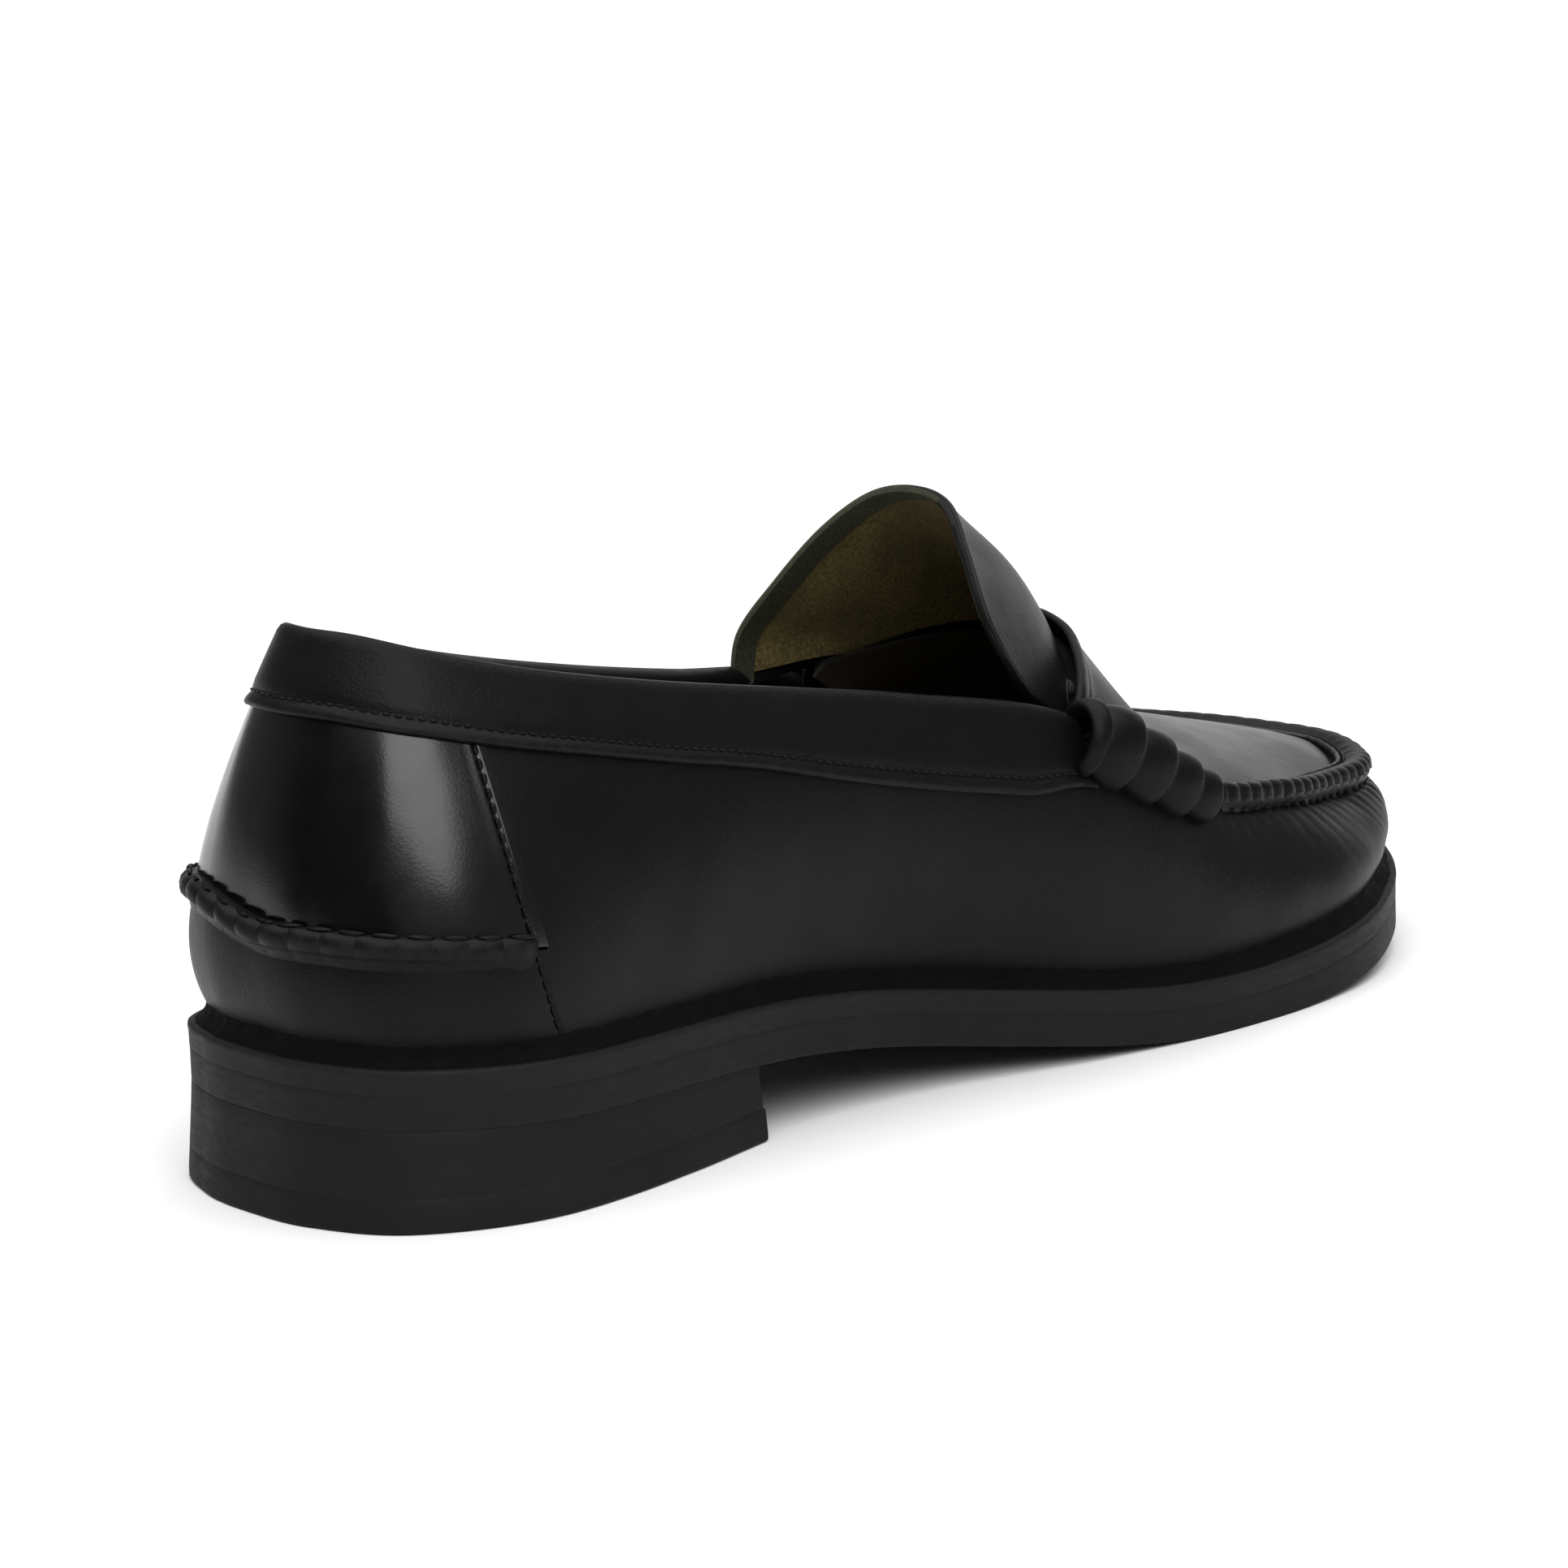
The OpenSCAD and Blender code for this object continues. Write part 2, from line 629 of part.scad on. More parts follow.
module tongue_lining() {
    rows = 8;
    cols = 18;
    near = tongue_leather + 2 * gap;
    function at(i, j, d) = tongue_face(mix(0.03, 0.92, i / rows), mix(0.04, 0.96, j / cols), d);
    color("#5a4d27") slab(
        [for (i = [0:rows]) [for (j = [0:cols]) at(i, j, near + lining)]],
        [for (i = [0:rows]) [for (j = [0:cols]) at(i, j, near)]]);
}

// ---- Threads ----

module apron_thread() {
    steps = 72;
    start = ridge_start + 0.3;
    color("#151516") sewn([for (i = [0:steps])
        let (t = mix(start, STATIONS - start, i / steps))
        wall(t, 0.99, -thread / 2 + 0.1) + [0, 0, ridge_height * 0.4]]);
}

module heel_roll_thread() {
    steps = 36;
    color("#151516") sewn([for (i = [0:steps])
        let (t = mix(-side_seam(roll_seam_at) + 0.15, side_seam(roll_seam_at) - 0.15, i / steps))
        wall(t, roll_seam_at + 0.045, -thread / 2 + 0.05)]);
}

module collar_thread() {
    steps = 72;
    color("#151516") sewn([for (i = [0:steps])
        let (t = mix(-collar_end + 0.1, collar_end - 0.1, i / steps))
        wall(t, below_top(t, collar_height - 2.2), -2 * gap - band_thickness - thread / 2 + 0.1)]);
}

module side_seam_threads() {
    steps = 14;
    for (side = [0, 1])
        color("#151516") sewn([for (i = [0:steps])
            let (v = mix(0.04, 0.78, i / steps), t = side_seam(v) - 0.1)
            wall(side == 0 ? t : STATIONS - t, v, -thread / 2 + 0.1)]);
}

outsole();
midsole();
rand();
heel_block();
heel_top_piece();
heel_nails();
cork_filler();
shank();
insole_board();
heel_pad();
sock_lining();
vamp_wall();
wall_lining();
apron();
apron_lining();
toe_puff();
heel_stiffener();
heel_counter_panel();
heel_lower_panel();
heel_roll_seam();
collar_band();
saddle_strap();
beef_roll_outer();
beef_roll_inner();
tongue();
tongue_lining();
apron_thread();
heel_roll_thread();
collar_thread();
side_seam_threads();
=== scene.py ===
"""Penny loafer, right shoe: visible leather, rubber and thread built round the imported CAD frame.

+X points to the toe, +Y to the inner side of the foot, +Z up. Shapes are worked out in
millimetres from the back of the heel, as the CAD part draws them, and put into the frame
when each mesh is made.
"""
import math

import bmesh
import bpy
import numpy as np
from mathutils import Matrix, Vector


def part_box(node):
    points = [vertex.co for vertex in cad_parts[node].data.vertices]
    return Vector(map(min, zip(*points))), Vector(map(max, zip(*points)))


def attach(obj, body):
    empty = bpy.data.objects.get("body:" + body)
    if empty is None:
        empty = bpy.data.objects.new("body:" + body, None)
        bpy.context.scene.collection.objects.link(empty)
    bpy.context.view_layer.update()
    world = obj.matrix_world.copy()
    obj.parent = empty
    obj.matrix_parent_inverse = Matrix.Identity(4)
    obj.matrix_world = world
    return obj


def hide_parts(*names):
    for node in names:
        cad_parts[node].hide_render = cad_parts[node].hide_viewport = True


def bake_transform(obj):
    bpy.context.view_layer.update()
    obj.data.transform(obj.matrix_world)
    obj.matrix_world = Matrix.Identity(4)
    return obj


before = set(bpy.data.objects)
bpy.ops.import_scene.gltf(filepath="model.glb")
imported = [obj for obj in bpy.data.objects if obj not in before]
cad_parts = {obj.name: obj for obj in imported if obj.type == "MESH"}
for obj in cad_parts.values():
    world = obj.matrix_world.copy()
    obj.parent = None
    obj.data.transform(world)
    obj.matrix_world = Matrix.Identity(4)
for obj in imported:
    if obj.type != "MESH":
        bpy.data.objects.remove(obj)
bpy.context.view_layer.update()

MM = 0.001

# ---- Shape of the last ----

# Stations round the shoe, from the back of the heel along the outer side to the toe and
# back along the inner side. Each row holds the sole's edge x, y, the upper's top edge
# x, y, z, and how far the wall bulges low down and high up.
LAST = np.array([
    [-3.7, 0, 14, 0, 96.5, 1.5, 13],
    [-3, -15, 16.5, -9, 96, 1, 13],
    [5, -31, 25, -17.5, 93, 0.7, 13],
    [27, -41, 42, -23.5, 88, 1, 13],
    [60, -39, 68, -27, 82, 2.5, 12],
    [93, -34.7, 96, -29.5, 76.5, 4.5, 11],
    [126, -36.5, 124, -32.5, 71, 4.5, 10],
    [161, -45, 158, -37.5, 62.5, 2, 10],
    [195, -48.5, 191, -38.5, 43.5, 1, 8],
    [228, -45.3, 219, -33, 37.5, 1, 9],
    [251, -33.8, 239.5, -25, 34.2, 1, 9],
    [267.3, -18, 260, -15.5, 32.6, 1.5, 8],
    [279, 3, 270.3, 2, 33.2, 2, 8],
    [273.5, 26, 263.5, 18, 35.4, 1.5, 9],
    [256, 41, 247.3, 29.7, 38.4, 1, 9],
    [231, 49, 224, 38, 42.5, 1, 9],
    [201, 51, 196, 41, 46.5, 1, 8],
    [162, 44, 160, 37.5, 61, 2, 9],
    [127, 36, 125, 32, 67.5, 4, 9],
    [93, 33, 96, 29, 73.5, 4.5, 10],
    [59, 35, 67, 27, 80.5, 3.5, 12],
    [30, 35.5, 42, 23.5, 88, 2.5, 13],
    [7.5, 28.5, 25, 17, 93, 2.5, 13],
    [-1.2, 14.5, 16.5, 9, 96, 2.5, 13]], float)
STATIONS = len(LAST)
TOE = STATIONS / 2

# Side view of the bottom: x and the height of the sole's top face.
SOLE_TOP = np.array([[-4, 28.2], [39, 25.8], [78, 24.3], [108, 21.5], [142, 15.8], [176, 11],
                     [206, 10.5], [245, 14], [288, 18.4]])

# Arcs over the instep, from the outer side to the inner side.
STRAP_FRONT = np.array([[192, -38, 43.5], [194.5, -34, 46], [197, -25, 49.5], [200, -13, 52.5],
                        [202, 0, 54], [201, 13, 53.5], [199, 25, 51.5], [196, 34, 48.5],
                        [193, 39.5, 47]])
STRAP_REAR = np.array([[160, -38.5, 64], [164.5, -35.2, 67.6], [173, -26.3, 71],
                       [182, -14, 73.3], [186.5, 0, 74.2], [184, 14, 73.3], [176, 26, 71],
                       [166.5, 35, 67.4], [162, 38.5, 62.5]])
TONGUE_EDGE = np.array([[164, -32.5, 60.5], [153.5, -33.5, 68], [146.5, -31, 81], [151, -21, 92.5],
                        [156, -11.5, 99.8], [157.5, -1, 101.5], [156, 9, 99.5], [152.5, 18.5, 92.5],
                        [148.5, 27.5, 82], [145, 34.5, 71.5], [143, 34.3, 61]])

# Thicknesses and heights of the pieces.
OUTSOLE = 6.1
MIDSOLE = 4.4
TOP_PIECE = 6.0
HEEL_LENGTH = 81.0
HEEL_FLARE = 3.2
RAND = 2.8
LEATHER = 1.5
LINING = 0.8
COLLAR = 12.5
BAND = 0.9
RIDGE = 2.6
TONGUE = 1.3
GAP = 0.1
FEATHER_INSET = 3.5
RAND_INSET = 4.6
RAND_WIDTH = 2.6
BOARD_INSET = RAND_INSET + RAND_WIDTH + 0.5
LINING_GAP = LEATHER + 1.1
BOARD = 3.8
PAD = 2.4
SOCK = 0.8

# Places along the stations and up the wall.
LOW_BULGE_AT = 0.28
HIGH_BULGE_AT = 0.64
STRAIGHT_TO_CURVE = 0.93
SEAM_LOW = 3.28
SEAM_HIGH = 2.3
COLLAR_END = 7.05
RIDGE_START = 8.0
ROLL_SEAM_AT = 0.3


def mix(a, b, f):
    return a + (b - a) * f


def unit(v):
    return v / np.maximum(np.linalg.norm(v, axis=-1, keepdims=True), 1e-9)


def smooth_step(f):
    g = np.clip(f, 0, 1)
    return g * g * (3 - 2 * g)


def xyz(x, y, z):
    """Points from three arrays that broadcast together."""
    return np.stack(np.broadcast_arrays(x, y, z), -1).astype(float)


def bend(a, b, c, d, f):
    """Point between b and c on the smooth curve through a, b, c and d."""
    return b + 0.5 * f * ((c - a) + f * ((2 * a - 5 * b + 4 * c - d) + f * (3 * (b - c) + d - a)))


def station(t):
    """Row of the closed table of stations at position t."""
    i = np.floor(t).astype(int)
    f = (t - i)[..., None]
    a, b, c, d = (LAST[(i + k) % STATIONS] for k in (-1, 0, 1, 2))
    return bend(a, b, c, d, f)


def along(points, w):
    """Point of an open list of points at share w of its length."""
    last = len(points) - 1
    s = w * last
    i = np.clip(np.floor(s).astype(int), 0, last - 1)
    a, b, c, d = (points[np.clip(i + k, 0, last)] for k in (-1, 0, 1, 2))
    return bend(a, b, c, d, (s - i)[..., None])


def sole_top(x):
    """Height of the sole's top face at x."""
    last = len(SOLE_TOP) - 1
    i = np.clip(np.searchsorted(SOLE_TOP[:, 0], x) - 1, 0, last - 1)
    a, b, c, d = (SOLE_TOP[np.clip(i + k, 0, last)] for k in (-1, 0, 1, 2))
    span = c[..., 0] - b[..., 0]
    f = (x - b[..., 0]) / span
    low = (c[..., 1] - a[..., 1]) / (c[..., 0] - a[..., 0]) * span
    high = (d[..., 1] - b[..., 1]) / (d[..., 0] - b[..., 0]) * span
    smooth = mix(b[..., 1], c[..., 1], f * f * (3 - 2 * f))
    return smooth + low * f * (1 - f) ** 2 - high * f * f * (1 - f)


def midsole_face(x):
    return sole_top(x) - MIDSOLE


def tread_face(x):
    return np.maximum(0, midsole_face(x) - OUTSOLE)


def outward(t):
    """Outward direction of the sole's edge, seen from above."""
    step = station(t + 0.02) - station(t - 0.02)
    return unit(xyz(step[..., 1], -step[..., 0], 0))


def edge(t, inset=0.0):
    """Point of the sole's edge at station t, moved inwards, as x and y."""
    return station(t)[..., :2] - outward(t)[..., :2] * np.asarray(inset)[..., None]


def skin(t, v):
    """Point of the upper's wall, v from the sole at 0 to the top edge at 1."""
    t, v = np.broadcast_arrays(np.asarray(t, float), np.asarray(v, float))
    s, n = station(t), outward(t)
    top = s[..., 2:5]
    base = sole_top(s[..., 0]) + RAND
    rise = top[..., 2] - base
    foot = xyz(s[..., 0], s[..., 1], base)
    p0 = foot - n * FEATHER_INSET
    p1 = foot + n * s[..., 5:6] + xyz(0, 0, LOW_BULGE_AT * rise)
    p2 = xyz(top[..., 0], top[..., 1], base + HIGH_BULGE_AT * rise) + n * s[..., 6:7]
    v = v[..., None]
    w = 1 - v
    return p0 * w ** 3 + p1 * 3 * v * w ** 2 + p2 * 3 * v ** 2 * w + top * v ** 3


def wall_out(t, v):
    """Outward direction of the wall."""
    e = 0.02
    across = skin(t + e, v) - skin(t - e, v)
    up = skin(t, np.minimum(v + e, 1.02)) - skin(t, v - e)
    return unit(np.cross(across, up))


def wall(t, v, d=0.0):
    """Point at depth d under the wall's outer face; a negative depth lies outside it."""
    return skin(t, v) - wall_out(t, v) * np.asarray(d, float)[..., None]


def below_top(t, h):
    """Share v of a point that lies h below the top edge."""
    return 1 - h / np.linalg.norm(skin(t, 1.0) - skin(t, 0.0), axis=-1) * STRAIGHT_TO_CURVE


def side_seam(v):
    return mix(SEAM_LOW, SEAM_HIGH, v)


def saddle_skin(u, w):
    u = np.asarray(u, float)[..., None]
    return mix(along(STRAP_FRONT, w), along(STRAP_REAR, w), u)


def off_face(face, u, w, e, d):
    """Point of a face at depth d under its outer side."""
    across = face(u, np.minimum(w + e, 1)) - face(u, np.maximum(w - e, 0))
    back = face(u + e, w) - face(u - e, w)
    return face(u, w) - unit(np.cross(across, back)) * np.asarray(d, float)[..., None]


def saddle(u, w, d=0.0):
    """Point of the strap, u from its front edge at 0 to its rear edge at 1."""
    return off_face(saddle_skin, u, w, 0.01, d)


TONGUE_ROOT_AT = 0.98
TONGUE_ROOT_NARROW = 0.16
TONGUE_CLEARANCE = 1.7
TONGUE_BULGE = 2.7


def tongue_skin(u, w):
    narrow = mix(TONGUE_ROOT_NARROW, 1 - TONGUE_ROOT_NARROW, w)
    root = saddle(np.full_like(narrow, TONGUE_ROOT_AT), narrow, LEATHER + TONGUE_CLEARANCE)
    u = np.asarray(u, float)[..., None]
    swell = np.maximum(u, 0) ** 0.9 * np.maximum(1 - u, 0) ** 1.8 * 5
    arch = np.sin(np.pi * np.asarray(w))[..., None] * swell
    return mix(root, along(TONGUE_EDGE, w), u) + arch * TONGUE_BULGE * xyz(1, 0, 1)


def tongue_face(u, w, d=0.0):
    """Point of the tongue, u from its root under the strap at 0 to its free edge at 1."""
    return off_face(tongue_skin, u, w, 0.02, d)


def skive(u):
    """Share of its thickness that the tongue keeps, thinner at its free edge."""
    return mix(1.0, 0.5, smooth_step((u - 0.65) / 0.3))


# ---- Meshes ----

def shift_into_frame():
    """What moves the drawing into the frame, from where the CAD's midsole lies."""
    rim = edge(np.arange(0, STATIONS, 1 / 3))
    corner = np.array(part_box("midsole")[0][:2]) / MM
    return np.append(corner - rim.min(0), 0.0)


SHIFT = shift_into_frame()


def to_frame(points):
    return (points + SHIFT) * MM


def linked(name, data):
    """A new object in the scene."""
    obj = bpy.data.objects.new(name, data)
    bpy.context.scene.collection.objects.link(obj)
    return obj


def finish_piece(obj, look, node, body):
    """Gives a new object its material, hangs it on its body and hides the CAD nodes it replaces."""
    obj.data.materials.append(look)
    if body:
        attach(obj, body)
    if node:
        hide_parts(*([node] if isinstance(node, str) else node))
    return obj


def mesh_object(name, points, faces, merge, wear=None):
    """A mesh object from points in millimetres, with outward normals and smooth shading."""
    mesh = bpy.data.meshes.new(name)
    mesh.from_pydata(to_frame(points).tolist(), [], np.asarray(faces).tolist())
    if wear is not None:
        layer = mesh.attributes.new("wear", "FLOAT", "POINT")
        layer.data.foreach_set("value", np.asarray(wear, np.float32))
    bm = bmesh.new()
    bm.from_mesh(mesh)
    bmesh.ops.remove_doubles(bm, verts=bm.verts, dist=merge * MM)
    bmesh.ops.recalc_face_normals(bm, faces=bm.faces)
    for face in bm.faces:
        face.smooth = True
    bm.to_mesh(mesh)
    bm.free()
    return linked(name, mesh)


def mesh_piece(name, points, faces, look, node=None, body="shoe", slot=None, wear=None,
               sharp=50, merge=0.004):
    """A visible piece, crisp along edges that turn by more than sharp degrees."""
    obj = mesh_object(name, points, faces, merge, wear)
    obj.data.set_sharp_from_angle(angle=math.radians(sharp))
    return finish_piece(obj, look, node, body)


def loft(rings, closed=False, caps=True):
    """Points and quads of a skin over rings of equal size, ended by strips of quads."""
    count, size = rings.shape[:2]
    ids = np.arange(count * size).reshape(count, size)
    a = ids if closed else ids[:-1]
    b = np.roll(ids, -1, axis=0) if closed else ids[1:]
    quads = np.stack([a, b, np.roll(b, -1, axis=1), np.roll(a, -1, axis=1)], -1).reshape(-1, 4)
    if caps and not closed:
        s = np.arange(size // 2 - 1)
        strip = np.stack([s, s + 1, size - 2 - s, size - 1 - s], -1)
        quads = np.concatenate([quads, strip, strip + ids[-1, 0]])
    return rings.reshape(-1, 3), quads


def joined(parts):
    """Points and faces of several skins as one."""
    starts = np.cumsum([0] + [len(points) for points, _ in parts[:-1]])
    return (np.concatenate([points for points, _ in parts]),
            np.concatenate([faces + start for (_, faces), start in zip(parts, starts)]))


def shell(outer, inner, steps=3):
    """Rings round a thin wall with rounded edges at its first and last columns.

    outer and inner are (rings, columns, 3). Returns the rings and, for each of their
    points, how near it is to a cut edge, from 0 to 1."""
    def rim(j, k):
        middle = (outer[:, j] + inner[:, j]) / 2
        half = (outer[:, j] - inner[:, j]) / 2
        away = unit(outer[:, j] - outer[:, k]) * np.linalg.norm(half, axis=-1, keepdims=True)
        angles = np.pi * np.arange(1, 2 * steps + 1) / (2 * steps + 1)
        return middle[:, None] + half[:, None] * np.cos(angles)[:, None] \
            + away[:, None] * np.sin(angles)[:, None]

    top = rim(-1, -2)
    bottom = rim(0, 1)[:, ::-1]
    rings = np.concatenate([bottom[:, steps:], outer, top, inner[:, ::-1], bottom[:, :steps]], 1)
    columns = outer.shape[1]
    from_edge = np.minimum(np.arange(columns), np.arange(columns)[::-1])
    face = np.where(from_edge < 3, 0.6 - 0.2 * from_edge, 0)
    worn = np.concatenate([np.ones(steps), face, np.ones(2 * steps), face, np.ones(steps)])
    return rings, np.broadcast_to(worn, rings.shape[:2]).reshape(-1)


def thin_piece(name, outer, inner, look, **how):
    """A sheet of leather between two grids of points."""
    rings, worn = shell(outer, inner)
    return mesh_piece(name, *loft(rings), look, wear=worn, **how)


def tube_rings(path, side, up, radius, count):
    """Rings of a round section along a path, with given side and up directions."""
    angles = 2 * np.pi * (np.arange(count) + 0.5) / count
    radius = np.broadcast_to(np.asarray(radius, float), path.shape[:1])[:, None, None]
    return path[:, None] + radius * (side[:, None] * np.cos(angles)[None, :, None]
                                     + up[:, None] * np.sin(angles)[None, :, None])


def chance(k):
    """A repeatable number from 0 to 1 for each whole number k."""
    s = np.sin(np.asarray(k, float) * 12.9898 + 4.1) * 43758.5453
    return s - np.floor(s)


def arc_length(points):
    """Distance along a line of points, from its first point."""
    steps = np.linalg.norm(np.diff(points, axis=0), axis=-1)
    return np.concatenate([[0], np.cumsum(steps)])


def spaced(path, pitch, *fields):
    """Even marks pitch apart along a path: points, tangents and the fields there."""
    length = arc_length(path)
    count = max(int(round(length[-1] / pitch)), 1)
    marks = (np.arange(count) + 0.5) * length[-1] / count

    def sample(values, at):
        return np.stack([np.interp(at, length, values[:, k]) for k in range(values.shape[1])], -1)

    tangent = unit(sample(path, marks + 0.2) - sample(path, marks - 0.2))
    return [sample(path, marks), tangent] + [unit(sample(f, marks)) for f in fields]


# Rings of one stitch: place along it, thickness and height, as shares.
STITCH = np.array([[-1, 0.25, -1.1], [-0.9, 0.7, -0.45], [-0.55, 0.95, 0.1], [0, 1, 0.25],
                   [0.55, 0.95, 0.1], [0.9, 0.7, -0.45], [1, 0.25, -1.1]])


def stitches(name, runs, radius, look, **how):
    """Separate stitches. Each run is points, directions along and directions out, and the
    stitches' length."""
    sides = 6
    angles = 2 * np.pi * (np.arange(sides) + 0.5) / sides
    parts = []
    for middle, tangent, out, length in runs:
        side = unit(np.cross(tangent, out))
        up = np.cross(side, tangent)
        core = middle[:, None] + tangent[:, None] * (STITCH[:, 0] * length / 2)[None, :, None] \
            + up[:, None] * (STITCH[:, 2] * radius)[None, :, None]
        ring = side[:, None, None] * np.cos(angles)[:, None] \
            + up[:, None, None] * np.sin(angles)[:, None]
        thick = (STITCH[:, 1] * radius)[None, :, None, None]
        parts += [loft(one) for one in core[:, :, None] + ring * thick]
    return mesh_piece(name, *joined(parts), look, merge=0, **how)


# ---- Materials ----

def new_look(name):
    look = bpy.data.materials.new(name)
    look.use_nodes = True
    return look, look.node_tree, look.node_tree.nodes["Principled BSDF"]


def connect(tree, node, inputs):
    """Sets a node's inputs to values, or links them to sockets."""
    for key, value in inputs.items():
        if isinstance(value, bpy.types.NodeSocket):
            tree.links.new(value, node.inputs[key])
        else:
            node.inputs[key].default_value = value


def add(tree, kind, inputs, **settings):
    """A new node with its settings and inputs."""
    node = tree.nodes.new(kind)
    for key, value in settings.items():
        setattr(node, key, value)
    connect(tree, node, inputs)
    return node


def place(tree, stretch=(1, 1, 1)):
    """The object's own coordinates, in metres, stretched."""
    where = tree.nodes.new("ShaderNodeTexCoord").outputs["Object"]
    return add(tree, "ShaderNodeMapping", {"Vector": where, "Scale": stretch}).outputs["Vector"]


def noise(tree, where, size, detail=3.0, rough=0.55):
    """Soft noise with features of a size in millimetres."""
    inputs = {"Vector": where, "Scale": 1 / (size * MM), "Detail": detail, "Roughness": rough}
    return add(tree, "ShaderNodeTexNoise", inputs).outputs["Fac"]


def ramp(tree, value, low, high, to_low=0.0, to_high=1.0):
    """value mapped from low..high to to_low..to_high."""
    inputs = {"Value": value, "From Min": low, "From Max": high, "To Min": to_low,
              "To Max": to_high}
    return add(tree, "ShaderNodeMapRange", inputs).outputs["Result"]


def blend_colours(tree, factor, first, second):
    """Colour between two colours, each a socket or three numbers."""
    ends = [c if isinstance(c, bpy.types.NodeSocket) else (*c, 1) for c in (first, second)]
    inputs = {0: factor, 6: ends[0], 7: ends[1]}
    return add(tree, "ShaderNodeMix", inputs, data_type="RGBA").outputs[2]


def wear_of(tree):
    """How worn the surface is, from 0 to 1."""
    return add(tree, "ShaderNodeAttribute", {}, attribute_name="wear").outputs["Fac"]


def times(tree, a, b):
    return add(tree, "ShaderNodeMath", {0: a, 1: b}, operation="MULTIPLY").outputs[0]


def plus(tree, a, b):
    return add(tree, "ShaderNodeMath", {0: a, 1: b}, operation="ADD").outputs[0]


def bump(tree, shader, height, depth, strength=1.0):
    """Bump whose height of 1 stands depth millimetres high."""
    inputs = {"Height": height, "Distance": depth * MM, "Strength": strength}
    node = add(tree, "ShaderNodeBump", inputs)
    connect(tree, shader, {"Normal": node.outputs["Normal"]})


def leather_look(name, dark, brown, rough, gloss, grain):
    """Polished leather: faint colour drift, fine grain and pores, wear on cut edges."""
    look, tree, shader = new_look(name)
    where = place(tree)
    drift = ramp(tree, noise(tree, where, 26, 2), 0.35, 0.7)
    colour = blend_colours(tree, drift, dark, brown)
    scuff = times(tree, wear_of(tree), ramp(tree, noise(tree, where, 2.2), 0.35, 0.75))
    colour = blend_colours(tree, scuff, colour, [c * 2.2 + 0.002 for c in brown])
    cloud = noise(tree, where, 9, 4)
    finish = plus(tree, ramp(tree, cloud, 0.3, 0.7, rough - 0.035, rough + 0.045),
                  times(tree, scuff, 0.25))
    connect(tree, shader, {"Base Color": colour, "Roughness": finish,
                           "Specular IOR Level": gloss})
    cells = add(tree, "ShaderNodeTexVoronoi", {"Vector": where, "Scale": 1 / (0.9 * MM)},
                feature="DISTANCE_TO_EDGE").outputs["Distance"]
    pores = ramp(tree, cells, 0, 0.22)
    fine = noise(tree, where, 0.55, 4)
    height = plus(tree, times(tree, pores, 0.35), fine)
    height = plus(tree, height, times(tree, noise(tree, where, 5, 3), 1.6))
    bump(tree, shader, height, 0.05 * grain)
    return look


def suede_look(name, light, dark, deep):
    """Napped lining leather: clouded colour, soft sheen and short fibres."""
    look, tree, shader = new_look(name)
    where = place(tree)
    cloud = ramp(tree, noise(tree, where, 14, 3), 0.35, 0.68)
    colour = blend_colours(tree, cloud, dark, light)
    nap = noise(tree, place(tree, (1, 1.6, 0.6)), 0.5, 5, 0.7)
    colour = blend_colours(tree, ramp(tree, nap, 0.35, 0.7), deep, colour)
    connect(tree, shader, {"Base Color": colour,
                           "Roughness": ramp(tree, nap, 0.3, 0.7, 0.96, 0.82),
                           "Sheen Weight": 0.25, "Sheen Roughness": 0.5,
                           "Sheen Tint": (0.6, 0.5, 0.3, 1), "Specular IOR Level": 0.2})
    fibres = plus(tree, nap, times(tree, noise(tree, where, 2.5, 3), 1.2))
    bump(tree, shader, fibres, 0.16)
    return look


def rubber_look(name, colour, rough, grain=1.0):
    """Moulded rubber: matt, with a fine skin and faint marks along the sole."""
    look, tree, shader = new_look(name)
    where = place(tree)
    drift = ramp(tree, noise(tree, where, 18, 3), 0.3, 0.7)
    shade = blend_colours(tree, drift, colour, [c * 1.35 for c in colour])
    dusty = times(tree, wear_of(tree), ramp(tree, noise(tree, where, 1.6), 0.4, 0.8))
    shade = blend_colours(tree, dusty, shade, [c * 1.8 for c in colour])
    marks = noise(tree, place(tree, (0.25, 0.25, 1)), 0.8, 4)
    finish = ramp(tree, marks, 0.3, 0.7, rough - 0.05, rough + 0.07)
    connect(tree, shader, {"Base Color": shade, "Roughness": finish, "Specular IOR Level": 0.15})
    height = plus(tree, noise(tree, where, 0.35, 3), times(tree, marks, 0.8))
    bump(tree, shader, height, 0.05 * grain)
    return look


def thread_look(name, colour):
    """Waxed thread with its twist."""
    look, tree, shader = new_look(name)
    where = place(tree, (1, 0.8, 1.3))
    twist = add(tree, "ShaderNodeTexWave", {"Vector": where, "Scale": 1 / (2.2 * MM),
                                            "Distortion": 1.5}, bands_direction="DIAGONAL")
    twist = twist.outputs["Fac"]
    shade = blend_colours(tree, twist, colour, [c * 2.4 for c in colour])
    finish = ramp(tree, twist, 0, 1, 0.62, 0.42)
    connect(tree, shader, {"Base Color": shade, "Roughness": finish, "Specular IOR Level": 0.15})
    bump(tree, shader, twist, 0.07)
    return look


def metal_look(name, colour):
    """Bright steel with fine drawn lines."""
    look, tree, shader = new_look(name)
    lines = noise(tree, place(tree, (0.1, 1, 1)), 0.3, 4)
    shade = blend_colours(tree, lines, colour, [c * 0.7 for c in colour])
    finish = ramp(tree, lines, 0.3, 0.7, 0.28, 0.45)
    connect(tree, shader, {"Base Color": shade, "Roughness": finish, "Metallic": 1.0})
    bump(tree, shader, lines, 0.02)
    return look


